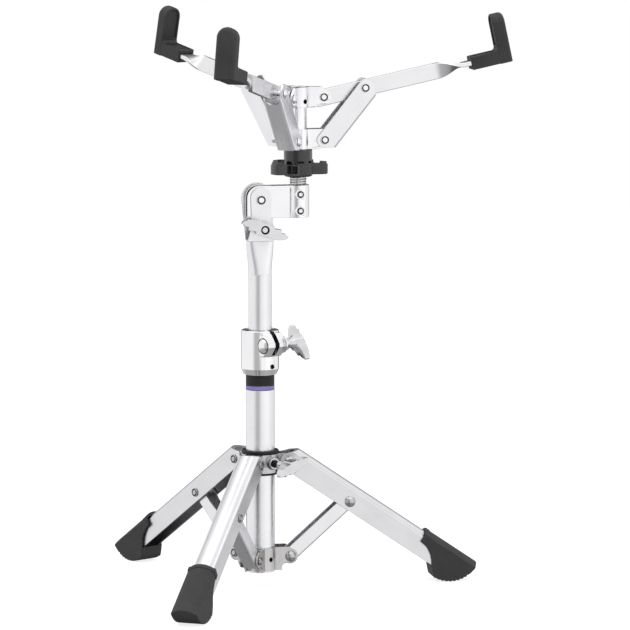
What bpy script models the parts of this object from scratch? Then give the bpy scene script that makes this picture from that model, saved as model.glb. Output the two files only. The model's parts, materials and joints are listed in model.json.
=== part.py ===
"""Folding snare drum stand: tripod, height clamp, tilter and three-armed basket. Metres, +Z up.

The origin is on the base tube's axis at floor level. Leg 1, the tilter and arm 1 all point along +X.
The stand is drawn open, as it is used, with the basket level.
"""
import math

import bmesh
import bpy
from mathutils import Matrix, Vector

MM = 0.001
GAP = 0.3 * MM                    # clearance between pieces that touch
STATIONS = 3                      # legs, struts, arms and links come in threes
STATION_STEP = math.tau / STATIONS
SIDES = 24                        # facets round a tube or a ring
SMALL_SIDES = 10                  # facets round a rivet, a bolt or a hole

# Tripod tubes and spiders
BASE_TUBE_R = 12.7 * MM
BASE_TUBE_WALL = 1.6 * MM
BASE_TUBE_BOTTOM = 14.0 * MM
NECK_BOTTOM = 176.2 * MM          # where the base tube is drawn in to take the sleeve
NECK_TOP = 215.0 * MM
NECK_R = 11.6 * MM
NECK_WALL = 1.0 * MM
SHEET = 1.6 * MM                  # pressed sheet of the spiders, brackets and links
LOWER_RING_BOTTOM = 15.6 * MM
LOWER_RING_TOP = 36.2 * MM
UPPER_RING_BOTTOM = 103.0 * MM
UPPER_RING_TOP = 119.6 * MM
BUSH_WALL = 1.6 * MM
BUSH_FLANGE_R = 16.4 * MM
BUSH_FLANGE_TOP = 2.8 * MM
BUSH_FLANGE_BOTTOM = 1.6 * MM

# Tripod linkage, in the plane of one leg
LEG_PIVOT_R = 24.6 * MM
LEG_PIVOT_Z = 111.9 * MM
LEG_SLOPE = math.radians(34.4)    # below the horizontal, when open
LEG_TO_STRUT = 65.7 * MM
STRUT_PIVOT_R = 25.6 * MM
STRUT_PIVOT_Z = 27.6 * MM
FOOT_CIRCLE = 169.5 * MM
LEG_RIVET_R = 2.6 * MM
RIVET_HEAD_R = 5.0 * MM
RIVET_HEAD_H = 2.8 * MM
RIVET_TAIL_R = 3.9 * MM
RIVET_TAIL_H = 1.1 * MM

# Leg channel: heights are measured from the pivot line
LEG_WIDTH = 19.0 * MM
LEG_WALL = 1.8 * MM
LEG_BELOW = 7.6 * MM
LEG_SHOULDER = 10.4 * MM
LEG_SHOULDER_ROUND = 1.5 * MM
LEG_CROWN = 3.9 * MM
LEG_END_R = 8.5 * MM
LEG_LENGTH = 178.0 * MM
STRUT_WIDTH = 13.2 * MM
STRUT_WALL = 1.5 * MM
STRUT_WEB_SIDE = 5.4 * MM
STRUT_OPEN_SIDE = 8.0 * MM
STRUT_END_R = 7.0 * MM
SPIDER_SLOT_HALF = 3.7 * MM
SPIDER_EAR_R = 6.4 * MM
LOWER_EAR_R = 6.6 * MM

# Rubber boot
RUBBER = 2.4 * MM
BOOT_TOP_END = 140.0 * MM
BOOT_TIP = 195.2 * MM
SOLE_R = 28.3 * MM
SOLE_RIDGES = 11
SOLE_RIDGE_STEP = math.radians(7.6)
SOLE_RIDGE_DEPTH = 0.8 * MM
HEEL_ARC_R = 25.3 * MM
HEEL_ARC_CENTRE = Vector((138.5 * MM, -20.5 * MM))

# Height clamp
UPPER_TUBE_R = 10.2 * MM
UPPER_TUBE_WALL = 1.6 * MM
UPPER_TUBE_BOTTOM = 89.0 * MM
RING_HEIGHT = 3.6 * MM
SLEEVE_R = 12.6 * MM
SLEEVE_TOP = 227.6 * MM
COLLAR_R = 16.7 * MM
COLLAR_NECK_R = 14.4 * MM
COLLAR_BOTTOM = 189.7 * MM
COLLAR_STEP = 195.4 * MM
COLLAR_TOP = 229.0 * MM
COLLAR_EDGE = 1.0 * MM
LUG_ANGLE = math.radians(-60)     # between leg 1 and leg 3
LUG_Z = 217.0 * MM
LUG_HALF_HEIGHT = 10.3 * MM
LUG_NOSE = 23.7 * MM
LUG_BACK = 11.8 * MM
LUG_FRONT = 9.4 * MM
LUG_SLIT = 3.2 * MM
LUG_BOLT_OFFSET = 18.6 * MM
CLAMP_BOLT_R = 3.0 * MM
CLAMP_HEAD_R = 6.6 * MM
CLAMP_HEAD_H = 3.2 * MM

# Spring pins
PIN_R = 1.7 * MM
PIN_WALL = 0.6 * MM
PIN_LENGTH = 5.0 * MM
COLLAR_PIN_Z = 197.6 * MM
LOWER_PIN_Z = 25.8 * MM
HUB_PIN_Z = 429.0 * MM

# Wings: outline of one blade, from hub to tip, repeated by half a turn
WING_HUB_R = 4.0 * MM
WING_LENGTH = 19.5 * MM           # hub's seat to front face, on the two wing bolts
WING_NUT_LENGTH = 26.0 * MM       # the same on the height clamp's wing nut
WING_DEPTH = 11.5 * MM            # of the blades beside the hub
WING_TIP_DEPTH = 5.0 * MM
WING_TIP_R = 21.0 * MM
WING_BLADE = [(4.4, -5.6), (9.0, -5.5), (13.5, -4.7), (18.0, -3.1), (20.3, -1.5), (20.7, 0.3),
              (17.8, 1.1), (17.2, 2.5), (12.9, 2.2), (12.4, 4.1), (7.4, 3.8), (6.4, 5.3)]
WING_RECESS_R = 3.7 * MM
WING_RECESS_DEPTH = 3.0 * MM
TILTER_WING_TURN = math.radians(-17)
SPIDER_WING_TURN = math.radians(110)
HEIGHT_WING_TURN = math.radians(62)
WING_BOLT_R = 3.0 * MM
SPIDER_BOSS_R = 5.6 * MM
SPIDER_BOSS_OUT = 20.0 * MM
SPIDER_WING_OUT = 26.5 * MM

# Tilter
PIVOT_Z = 343.6 * MM
FORK_SOLID_TOP = 308.0 * MM
FORK_FLARE_BOTTOM = 280.0 * MM
FORK_FLARE_TOP = 305.0 * MM
FORK_WIDTH = 23.8 * MM
FORK_DEPTH = 14.0 * MM
CHEEK_THICK = 1.7 * MM
CHEEK_FRONT_R = 9.3 * MM
CHEEK_BACK_R = 12.6 * MM
TILTER_RIVET_R = 3.0 * MM
TILTER_WING_DROP = 24.4 * MM      # below the pivot
ROD_OFFSET = 34.0 * MM
ROD_R = 7.6 * MM
ROD_BOTTOM = 328.0 * MM
ROD_TOP = 441.2 * MM
BRACKET_SHEET = 1.7 * MM
BRACKET_HALF = 4.9 * MM           # outer faces of the two plates, from the middle
BRACKET_ABOVE = 12.2 * MM         # pivot to the upper edge
BRACKET_BELOW = 16.2 * MM         # pivot to the lower edge
BRACKET_END = 13.2 * MM
ROD_BOLT_R = 2.5 * MM
ROD_BOLT_HEAD_R = 4.6 * MM
ROD_BOLT_HEAD_H = 3.4 * MM
ROD_BOLT_WASHER_R = 5.2 * MM
ROD_BOLT_WASHER_H = 1.0 * MM
ROD_BOLT_HEIGHTS = {"rod_bolt_upper": 348.2 * MM, "rod_bolt_lower": 333.8 * MM}
TILTER_NUT_R = 6.0 * MM
TILTER_NUT_H = 4.5 * MM

# Basket linkage, in the plane of one arm, measured from the rod's axis
ARM_PIVOT_R = 22.2 * MM
ARM_PIVOT_Z = 432.4 * MM
ARM_RISE = math.radians(12.2)
ARM_TO_LINK = 37.0 * MM
LINK_PIVOT_R = 22.3 * MM
LINK_PIVOT_Z = 395.3 * MM
HUB_RING_BOTTOM = 423.6 * MM
HUB_RING_TOP = 441.6 * MM
HUB_RING_WALL = 2.0 * MM
HUB_EAR_INNER = 2.7 * MM
HUB_EAR_R = 6.5 * MM
COLLAR_RING_BOTTOM = 387.2 * MM
COLLAR_RING_TOP = 404.8 * MM
COLLAR_EAR_R = 5.6 * MM
COLLAR_EAR_TIP_R = 4.4 * MM
COLLAR_SLOT_RUN = Vector((3.2 * MM, 2.1 * MM))   # outward and up, play that the folding links need
COLLAR_SLOT_PLAY = 0.4 * MM
ARM_RIVET_R = 2.3 * MM
ARM_HEAD_R = 4.2 * MM
ARM_HEAD_H = 2.0 * MM
ARM_TAIL_R = 3.6 * MM
LINK_HALF_WIDTH = 8.4 * MM
LINK_END_R = 7.0 * MM
LINK_INNER_SIDE = 6.8 * MM        # pivot line to the open edge
LINK_OUTER_SIDE = 9.2 * MM        # pivot line to the web's face
LINK_WEB_START = 8.0 * MM
LINK_SCALLOP_R = 5.6 * MM

# Arms and grips
ARM_HEIGHT = 14.2 * MM
ARM_THICK = 4.0 * MM
ARM_DROP = 0.7 * MM               # middle of the bar below the pivot line
ARM_BACK = 6.5 * MM
TWIST_START = 98.0 * MM
TWIST_END = 130.0 * MM
ARM_BEND_AT = 165.5 * MM
ARM_BEND_R = 4.5 * MM
ARM_TIP = 31.0 * MM
GRIP_INNER_END = 136.2 * MM
GRIP_OUTER = 171.3 * MM
GRIP_UPRIGHT_INNER = 161.0 * MM
GRIP_BOTTOM = -6.9 * MM
GRIP_SEAT = 4.4 * MM
GRIP_TOP = 37.3 * MM
GRIP_HALF_WIDTH = 9.0 * MM
GRIP_CORNER = 5.0 * MM
GRIP_EDGE = 1.1 * MM
GRIP_RECESS_DEPTH = 1.2 * MM
GRIP_RECESS_MARGIN = 2.4 * MM

# Basket nut
NUT_BOTTOM = 363.2 * MM
NUT_TOP = 386.9 * MM
NUT_HUB_R = 12.4 * MM
NUT_LOBE_BOTTOM = 365.6 * MM
NUT_LOBE_TOP = 374.4 * MM
NUT_PAD_TOP = 376.2 * MM
NUT_LOBES = 5
NUT_LOBE_R = 26.0 * MM
NUT_LOBE_WAIST = 15.0 * MM
NUT_PAD_INNER = 20.0 * MM
NUT_PAD_INSET = 0.7 * MM
NUT_FIRST_LOBE = math.radians(-13)

# Surface colours: linear RGB, roughness, metallic
FINISHES = {
    "anodised": ((0.72, 0.72, 0.73), 0.38, 1.0),
    "chrome": ((0.80, 0.80, 0.81), 0.16, 1.0),
    "rubber": ((0.028, 0.028, 0.029), 0.72, 0.0),
    "gloss_black": ((0.012, 0.012, 0.012), 0.22, 0.0),
    "nylon": ((0.025, 0.025, 0.026), 0.5, 0.0),
    "lavender": ((0.25, 0.20, 0.52), 0.4, 0.0),
}

# Frames that turn a flat outline, drawn in XY with its thickness along Z, into its place
SIDE_VIEW = Matrix.Rotation(math.pi / 2, 4, "X")                  # x stays, y becomes Z
CROSS_SECTION = Matrix(((0, 0, 1, 0), (1, 0, 0, 0), (0, 1, 0, 0), (0, 0, 0, 1)))   # x to Y, y to Z
ALONG_X = Matrix.Rotation(math.pi / 2, 4, "Y")
ALONG_Y = Matrix.Rotation(-math.pi / 2, 4, "X")


def clear_scene():
    for obj in list(bpy.data.objects):
        bpy.data.objects.remove(obj, do_unlink=True)


def new_collection(name):
    group = bpy.data.collections.new(name)
    bpy.context.scene.collection.children.link(group)
    return group


def make_material(name, colour, roughness, metallic):
    material = bpy.data.materials.new(name)
    material.use_nodes = True
    shader = material.node_tree.nodes["Principled BSDF"]
    shader.inputs["Base Color"].default_value = (*colour, 1.0)
    shader.inputs["Roughness"].default_value = roughness
    shader.inputs["Metallic"].default_value = metallic
    material.diffuse_color = (*colour, 1.0)
    return material


# Basic solids. Each returns a loose object that is later shaped, named and placed.

def blank(mesh):
    obj = bpy.data.objects.new("blank", mesh)
    bench.objects.link(obj)
    return obj


def tidy(mesh, frame=Matrix()):
    """Weld seams, turn faces outward and move the mesh by a frame."""
    work = bmesh.new()
    work.from_mesh(mesh)
    bmesh.ops.remove_doubles(work, verts=work.verts, dist=0.001 * MM)
    bmesh.ops.recalc_face_normals(work, faces=work.faces)
    bmesh.ops.transform(work, matrix=frame, verts=work.verts)
    work.to_mesh(mesh)
    work.free()
    return mesh


def evaluated_mesh(obj):
    bpy.context.view_layer.update()
    depsgraph = bpy.context.evaluated_depsgraph_get()
    return bpy.data.meshes.new_from_object(obj.evaluated_get(depsgraph))


def from_curve(curve, frame=Matrix()):
    obj = bpy.data.objects.new("curve", curve)
    bench.objects.link(obj)
    mesh = evaluated_mesh(obj)
    bpy.data.objects.remove(obj, do_unlink=True)
    return blank(tidy(mesh, frame))


def add_loop(curve, points):
    spline = curve.splines.new("POLY")
    spline.points.add(len(points) - 1)
    for point, (x, y) in zip(spline.points, points):
        point.co = (x, y, 0.0, 1.0)
    spline.use_cyclic_u = True


def plate(loops, thickness, frame=Matrix()):
    """Flat piece: the first loop is its edge and the others are holes."""
    curve = bpy.data.curves.new("outline", "CURVE")
    curve.dimensions = "2D"
    curve.fill_mode = "BOTH"
    curve.extrude = thickness / 2
    for loop in loops:
        add_loop(curve, loop)
    return from_curve(curve, frame)


def turned(profile, frame=Matrix(), sides=SIDES):
    """Turned piece: a closed profile of (radius, height) swept round Z."""
    mesh = bpy.data.meshes.new("profile")
    count = len(profile)
    edges = [(i, (i + 1) % count) for i in range(count)]
    mesh.from_pydata([(r, 0.0, z) for r, z in profile], edges, [])
    obj = blank(mesh)
    sweep = obj.modifiers.new("sweep", "SCREW")
    sweep.steps = sides
    sweep.render_steps = sides
    sweep.use_merge_vertices = True
    sweep.merge_threshold = 0.001 * MM
    return bake(obj, frame)


def bake(obj, frame=Matrix()):
    mesh = evaluated_mesh(obj)
    obj.modifiers.clear()
    obj.data = tidy(mesh, frame)
    return obj


def cylinder(radius, low, high, frame=Matrix(), sides=SIDES):
    """Cylinder along Z from low to high, then moved by a frame."""
    mesh = bpy.data.meshes.new("cylinder")
    work = bmesh.new()
    shift = Matrix.Translation((0, 0, (low + high) / 2))
    bmesh.ops.create_cone(work, cap_ends=True, segments=sides, radius1=radius, radius2=radius,
                          depth=high - low, matrix=frame @ shift)
    work.to_mesh(mesh)
    work.free()
    return blank(mesh)


def box(low, high, frame=Matrix()):
    mesh = bpy.data.meshes.new("box")
    work = bmesh.new()
    low = Vector(low)
    high = Vector(high)
    size = Matrix.Diagonal((*(high - low), 1.0))
    bmesh.ops.create_cube(work, size=1.0, matrix=frame @ Matrix.Translation((low + high) / 2) @ size)
    work.to_mesh(mesh)
    work.free()
    return blank(mesh)


def combine(body, tool, operation):
    step = body.modifiers.new(operation.lower(), "BOOLEAN")
    step.operation = operation
    step.solver = "EXACT"
    step.object = tool
    bake(body)
    bpy.data.objects.remove(tool, do_unlink=True)
    return body


def join(body, tool):
    return combine(body, tool, "UNION")


def cut(body, tool):
    return combine(body, tool, "DIFFERENCE")


def keep_common(body, tool):
    return combine(body, tool, "INTERSECT")


def round_edges(body, width, segments=2, angle=math.radians(40)):
    bevel = body.modifiers.new("bevel", "BEVEL")
    bevel.width = width
    bevel.segments = segments
    bevel.limit_method = "ANGLE"
    bevel.angle_limit = angle
    return bake(body)


def arc(centre, radius, start, end, steps):
    """Points on an arc, angles in degrees, both ends included."""
    cx, cy = centre
    angles = [math.radians(start + (end - start) * i / steps) for i in range(steps + 1)]
    return [(cx + radius * math.cos(a), cy + radius * math.sin(a)) for a in angles]


def ring_of(centre, radius, sides=SMALL_SIDES):
    return arc(centre, radius, 0, 360, sides)[:-1]


def turn_z(angle):
    return Matrix.Rotation(angle, 4, "Z")


# Placing: a finished piece gets its name, finish and parent.

def empty(name, location=(0, 0, 0), turn=0.0, parent=None):
    obj = bpy.data.objects.new(name, None)
    obj.location = location
    obj.rotation_euler = (0, 0, turn)
    obj.parent = parent
    obj.empty_display_size = 0.02
    stand.objects.link(obj)
    return obj


def place(name, mesh, finish, parent=None, location=(0, 0, 0), pitch=0.0, turn=0.0):
    """Name a piece and put it in its parent's frame. Pitch turns it about Y, before the turn about Z."""
    obj = bpy.data.objects.new(name, mesh)
    if not mesh.materials:
        mesh.materials.append(make_material(f"{name}_{finish}", *FINISHES[finish]))
        mesh.shade_smooth()
        mesh.set_sharp_from_angle(angle=math.radians(35))
    obj.parent = parent
    obj.location = location
    obj.rotation_euler = (0, pitch, turn)
    stand.objects.link(obj)
    return obj


def take_mesh(obj):
    """The shape of a loose piece, which is then cleared away."""
    mesh = obj.data
    bpy.data.objects.remove(obj, do_unlink=True)
    return mesh


def place_at_stations(name, shape, finish, parents, location=(0, 0, 0), pitch=0.0):
    mesh = take_mesh(shape)
    pieces = []
    for index, parent in enumerate(parents):
        pieces.append(place(f"{name}_{index + 1}", mesh, finish, parent, location, pitch))
    return pieces


# Shared forms

def rivet(grip, shank_r, head_r, head_h, tail_r, tail_h):
    """Rivet along Y: domed head on the -Y side, flat rolled tail on the +Y side."""
    half = grip / 2 + GAP / 2
    dome_r = (head_r ** 2 + head_h ** 2) / (2 * head_h)
    sweep = math.degrees(math.asin(min(1.0, head_r / dome_r)))
    dome = arc((0, -half - head_h + dome_r), dome_r, -90 + sweep, -90, 3)
    profile = [(0, half + tail_h), (tail_r - tail_h / 2, half + tail_h), (tail_r, half), (shank_r, half),
               (shank_r, -half)]
    return turned(profile + dome, ALONG_Y, SMALL_SIDES)


def crowned_top(half, shoulder, rounding, crown, steps):
    """Upper edge of a channel's section, from +half to -half: rounded shoulders and an arched crown."""
    inner = half - rounding
    radius = (inner ** 2 + crown ** 2) / (2 * crown)
    span = math.degrees(math.asin(inner / radius))
    top = arc((0, shoulder + crown - radius), radius, 90 - span, 90 + span, steps)
    return [(half, shoulder - rounding)] + top + [(-half, shoulder - rounding)]


def leg_section(grow=0.0):
    """Filled outline of the leg's section, grown outward by a distance."""
    top = crowned_top(LEG_WIDTH / 2 + grow, LEG_SHOULDER + grow, LEG_SHOULDER_ROUND, LEG_CROWN, 6)
    low = -LEG_BELOW - grow
    return [(LEG_WIDTH / 2 + grow, low)] + top + [(-LEG_WIDTH / 2 - grow, low)]


def extrude_x(loop, start, end):
    """Solid with a cross-section drawn as (Y, Z), from start to end along X."""
    return plate([loop], end - start, Matrix.Translation(((start + end) / 2, 0, 0)) @ CROSS_SECTION)


def side_plate(loops, width, y=0.0):
    """Solid with a side outline drawn as (X, Z), centred on a place along Y."""
    return plate(loops, width, Matrix.Translation((0, y, 0)) @ SIDE_VIEW)


def hole_y(radius, x, z, half_length=30 * MM, sides=SMALL_SIDES):
    return cylinder(radius, -half_length, half_length, Matrix.Translation((x, 0, z)) @ ALONG_Y, sides)


def eared_ring(bore_r, wall, bottom, top, ear_loops, ear_inner, sheet=SHEET):
    """Pressed ring with a pair of ears at each station."""
    body = cylinder(bore_r + wall, bottom, top)
    for index in range(STATIONS):
        for side in (-1, 1):
            y = side * (ear_inner + sheet / 2)
            ear = side_plate(ear_loops, sheet, y)
            ear.data.transform(turn_z(index * STATION_STEP))
            join(body, ear)
    return cut(body, cylinder(bore_r, bottom - 10 * MM, top + 10 * MM))


def ear_outline(ring_r, bottom, top, centre, radius, shoulder=1.8 * MM):
    """Side outline of an ear: level top, round lobe, hollow neck below."""
    x, z = centre
    neck = arc((x - radius * 0.55, z - radius * 1.55), radius * 0.62, 60, 165, 3)
    foot = neck[-1][0]
    lobe = arc(centre, radius, 75, -105, 7)
    return ([(ring_r * 0.5, bottom), (ring_r * 0.5, top), (x - shoulder, top)] + lobe + neck
            + [(foot, bottom)])


def wing(length, turn):
    """Wing whose hub sits at Z = 0 and whose blades end in a flat face at Z = length."""
    blade = [(x * MM, y * MM) for x, y in WING_BLADE]
    outline = blade + [(-x, -y) for x, y in blade]
    body = plate([outline], length, Matrix.Translation((0, 0, length / 2 + GAP)))
    back = length - WING_DEPTH
    taper = [(0, length), (WING_TIP_R, length), (WING_TIP_R, length - WING_TIP_DEPTH), (WING_HUB_R, back), (0, back)]
    keep_common(body, turned(taper))
    flare = WING_HUB_R + 1.2 * MM
    hub = turned([(0, length - GAP), (flare, length - GAP), (flare, back), (WING_HUB_R, back - 2 * MM),
                  (WING_HUB_R, 0.5 * MM), (WING_HUB_R - 0.5 * MM, 0), (0, 0)], sides=12)
    join(body, hub)
    cut(body, cylinder(WING_RECESS_R, length - WING_RECESS_DEPTH, length + 5 * MM, sides=SMALL_SIDES))
    body.data.transform(turn_z(turn))
    return body


def spring_pin(name, radius_in, angle, z, parent=None, x=0.0):
    """Hollow pin that lies along a radius, its outer end flush with the ring it holds."""
    bore = PIN_R - PIN_WALL
    profile = [(PIN_R, radius_in + PIN_LENGTH), (PIN_R, radius_in), (bore, radius_in),
               (bore, radius_in + PIN_LENGTH)]
    frame = Matrix.Translation((x, 0, z)) @ turn_z(angle) @ ALONG_X
    place(name, take_mesh(turned(profile, frame, SMALL_SIDES)), "chrome", parent)


def pin_hole(radius_in, angle, z, x=0.0):
    frame = Matrix.Translation((x, 0, z)) @ turn_z(angle) @ ALONG_X
    return cylinder(PIN_R + GAP, radius_in - GAP, radius_in + 2 * PIN_LENGTH, frame, SMALL_SIDES)


# Tripod

def build_base_tube():
    outer = BASE_TUBE_R
    shape = turned([(NECK_R, NECK_TOP), (NECK_R, NECK_BOTTOM), (outer, NECK_BOTTOM), (outer, BASE_TUBE_BOTTOM),
                    (outer - BASE_TUBE_WALL, BASE_TUBE_BOTTOM),
                    (outer - BASE_TUBE_WALL, NECK_BOTTOM - 4 * MM), (NECK_R - NECK_WALL, NECK_BOTTOM),
                    (NECK_R - NECK_WALL, NECK_TOP)])
    cut(shape, pin_hole(lower_pin_in, LUG_ANGLE, LOWER_PIN_Z))
    place("base_tube", take_mesh(shape), "anodised")


def build_lower_spider():
    bore = BASE_TUBE_R + GAP
    edge = ear_outline(bore, LOWER_RING_BOTTOM, LOWER_RING_TOP, (STRUT_PIVOT_R, STRUT_PIVOT_Z), LOWER_EAR_R)
    hole = ring_of((STRUT_PIVOT_R, STRUT_PIVOT_Z), LEG_RIVET_R + GAP)
    shape = eared_ring(bore, SHEET, LOWER_RING_BOTTOM, LOWER_RING_TOP, [edge, hole], lower_ear_inner)
    cut(shape, pin_hole(lower_pin_in, LUG_ANGLE, LOWER_PIN_Z))
    place("lower_spider", take_mesh(shape), "chrome")
    spring_pin("lower_spider_pin", lower_pin_in, LUG_ANGLE, LOWER_PIN_Z)


def build_upper_spider():
    """The ears are open at the top, because the slide lags the legs while they fold."""
    bore = BASE_TUBE_R + GAP + BUSH_WALL + GAP
    x, z = LEG_PIVOT_R, LEG_PIVOT_Z
    rise = math.sqrt(SPIDER_EAR_R ** 2 - SPIDER_SLOT_HALF ** 2)
    lobe_start = math.degrees(math.atan2(rise, SPIDER_SLOT_HALF))
    neck = arc((x - 4.0 * MM, z - 10.0 * MM), 4.0 * MM, 60, 165, 3)
    edge = ([(bore * 0.5, UPPER_RING_BOTTOM), (bore * 0.5, UPPER_RING_TOP),
             (x - SPIDER_SLOT_HALF, UPPER_RING_TOP)]
            + arc((x, z), SPIDER_SLOT_HALF, 180, 360, 5)
            + arc((x, z), SPIDER_EAR_R, lobe_start, -105, 6) + neck + [(neck[-1][0], UPPER_RING_BOTTOM)])
    shape = eared_ring(bore, SHEET, UPPER_RING_BOTTOM, UPPER_RING_TOP, [edge], upper_ear_inner)
    radial = Matrix.Translation((0, 0, LEG_PIVOT_Z)) @ turn_z(LUG_ANGLE) @ ALONG_X
    boss = cylinder(SPIDER_BOSS_R, bore + SHEET / 2, SPIDER_BOSS_OUT, radial, SMALL_SIDES)
    join(shape, boss)
    cut(shape, cylinder(WING_BOLT_R + GAP, 0, 2 * SPIDER_BOSS_OUT, radial, SMALL_SIDES))
    place("upper_spider", take_mesh(shape), "chrome")

    bush_in = BASE_TUBE_R + GAP
    bush_out = bush_in + BUSH_WALL
    high = UPPER_RING_TOP + GAP
    low = UPPER_RING_BOTTOM - GAP
    profile = [(BUSH_FLANGE_R, high + BUSH_FLANGE_TOP), (BUSH_FLANGE_R, high), (bush_out, high), (bush_out, low),
               (BUSH_FLANGE_R - 0.6 * MM, low), (BUSH_FLANGE_R - 0.6 * MM, low - BUSH_FLANGE_BOTTOM),
               (bush_in, low - BUSH_FLANGE_BOTTOM), (bush_in, high + BUSH_FLANGE_TOP)]
    bush = turned(profile)
    place("spider_bush", take_mesh(bush), "nylon")

    tip = bush_out + GAP
    bolt = wing(WING_LENGTH, SPIDER_WING_TURN)
    join(bolt, cylinder(WING_BOLT_R, tip - SPIDER_WING_OUT, WING_LENGTH / 2, sides=SMALL_SIDES))
    bolt.data.transform(ALONG_X)
    location = turn_z(LUG_ANGLE) @ Vector((SPIDER_WING_OUT, 0, LEG_PIVOT_Z))
    place("spider_wing_bolt", take_mesh(bolt), "chrome", location=location, turn=LUG_ANGLE)


def build_legs(hubs):
    """Leg frame: X runs down the leg from its pivot, Z is square to it on the crowned side."""
    inner_half = LEG_WIDTH / 2 - LEG_WALL
    inner_top = crowned_top(inner_half, LEG_SHOULDER - LEG_WALL, LEG_SHOULDER_ROUND * 0.6, LEG_CROWN, 4)
    edge = leg_section()
    channel = edge + [(-inner_half, -LEG_BELOW)] + inner_top[::-1] + [(inner_half, -LEG_BELOW)]
    shape = extrude_x(channel, -20 * MM, LEG_LENGTH)
    reach = LEG_SHOULDER + 2 * LEG_CROWN
    bevel_foot = Vector(arc((0, 0), LEG_END_R, 150, 150, 1)[0])
    trim = (arc((0, 0), LEG_END_R, -90, -210, 6) + [(bevel_foot.x + reach, bevel_foot.y + reach)]
            + [(LEG_LENGTH + 10 * MM, bevel_foot.y + reach), (LEG_LENGTH + 10 * MM, -LEG_END_R)])
    keep_common(shape, side_plate([trim], 2 * LEG_WIDTH))
    cut(shape, hole_y(LEG_RIVET_R + GAP, 0, 0))
    cut(shape, hole_y(LEG_RIVET_R + GAP, LEG_TO_STRUT, 0))
    return place_at_stations("leg", shape, "anodised", hubs, (LEG_PIVOT_R, 0, LEG_PIVOT_Z), LEG_SLOPE)


def to_leg_frame(r, z):
    """A place in the leg's plane, from (radius, height) to the leg's own X and Z."""
    dr = r - LEG_PIVOT_R
    dz = z - LEG_PIVOT_Z
    return Vector((dr * math.cos(LEG_SLOPE) - dz * math.sin(LEG_SLOPE),
                   dr * math.sin(LEG_SLOPE) + dz * math.cos(LEG_SLOPE)))


def sole_points():
    """Serrated sole, from heel to tip. One ridge is square to the floor, so its flat carries the load."""
    centre = to_leg_frame(FOOT_CIRCLE, SOLE_R)
    down = -math.pi / 2 + LEG_SLOPE
    crest = SOLE_RIDGE_STEP * 0.28
    points = []
    for index in range(SOLE_RIDGES):
        middle = down + (index - (SOLE_RIDGES - 1) / 2) * SOLE_RIDGE_STEP
        ridge_r = SOLE_R / math.cos(crest)
        valley_r = SOLE_R - SOLE_RIDGE_DEPTH
        for offset, radius in ((-0.5 * SOLE_RIDGE_STEP, valley_r), (-crest, ridge_r), (crest, ridge_r)):
            angle = middle + offset
            points.append((centre.x + radius * math.cos(angle), centre.y + radius * math.sin(angle)))
    return points


def build_feet(legs):
    """Boot: side outline kept within a grown leg section, less the pocket for the leg."""
    sole = sole_points()
    heel_arc = arc(HEEL_ARC_CENTRE, HEEL_ARC_R, 87, 27, 5)
    top = LEG_SHOULDER + LEG_CROWN + 4 * RUBBER
    outline = heel_arc + sole + [(BOOT_TIP, LEG_SHOULDER), (BOOT_TIP, top), (BOOT_TOP_END, top)]
    shape = side_plate([outline], LEG_WIDTH + 8 * RUBBER)
    section = leg_section(RUBBER)
    deep = -3 * SOLE_R
    section = [(section[0][0], deep)] + section[1:-1] + [(section[-1][0], deep)]
    keep_common(shape, extrude_x(section, BOOT_TOP_END - 20 * MM, BOOT_TIP + 20 * MM))
    cut(shape, extrude_x(leg_section(GAP), BOOT_TOP_END - 40 * MM, LEG_LENGTH + GAP))
    mesh = take_mesh(shape)
    for index, leg in enumerate(legs):
        place(f"foot_{index + 1}", mesh, "rubber", leg)


def build_struts(hubs):
    """Strut frame: X runs from the lower pivot to the leg, Z is the open side, towards the tube."""
    half = STRUT_WIDTH / 2
    inner = half - STRUT_WALL
    low = -STRUT_WEB_SIDE
    channel = [(half, low), (half, STRUT_OPEN_SIDE), (inner, STRUT_OPEN_SIDE), (inner, low + STRUT_WALL),
               (-inner, low + STRUT_WALL), (-inner, STRUT_OPEN_SIDE), (-half, STRUT_OPEN_SIDE), (-half, low)]
    shape = extrude_x(channel, -20 * MM, strut_length + 20 * MM)
    trim = arc((0, 0), STRUT_END_R, -90, -270, 6) + [(0, 2 * STRUT_END_R), (strut_length, 2 * STRUT_END_R)]
    trim += arc((strut_length, 0), STRUT_END_R, 90, -90, 6)
    keep_common(shape, side_plate([trim], 2 * STRUT_WIDTH))
    cut(shape, hole_y(LEG_RIVET_R + GAP, 0, 0))
    cut(shape, hole_y(LEG_RIVET_R + GAP, strut_length, 0))
    return place_at_stations("strut", shape, "anodised", hubs, (STRUT_PIVOT_R, 0, STRUT_PIVOT_Z), -strut_rise)


def build_tripod_rivets(hubs, legs):
    sizes = (LEG_RIVET_R, RIVET_HEAD_R, RIVET_HEAD_H, RIVET_TAIL_R, RIVET_TAIL_H)
    place_at_stations("leg_pivot_rivet", rivet(LEG_WIDTH + GAP, *sizes), "chrome", legs)
    place_at_stations("leg_strut_rivet", rivet(LEG_WIDTH + GAP, *sizes), "chrome", legs, (LEG_TO_STRUT, 0, 0))
    width = 2 * (lower_ear_inner + SHEET) + GAP
    place_at_stations("strut_pivot_rivet", rivet(width, *sizes), "chrome", hubs, (STRUT_PIVOT_R, 0, STRUT_PIVOT_Z))


# Height clamp

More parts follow.
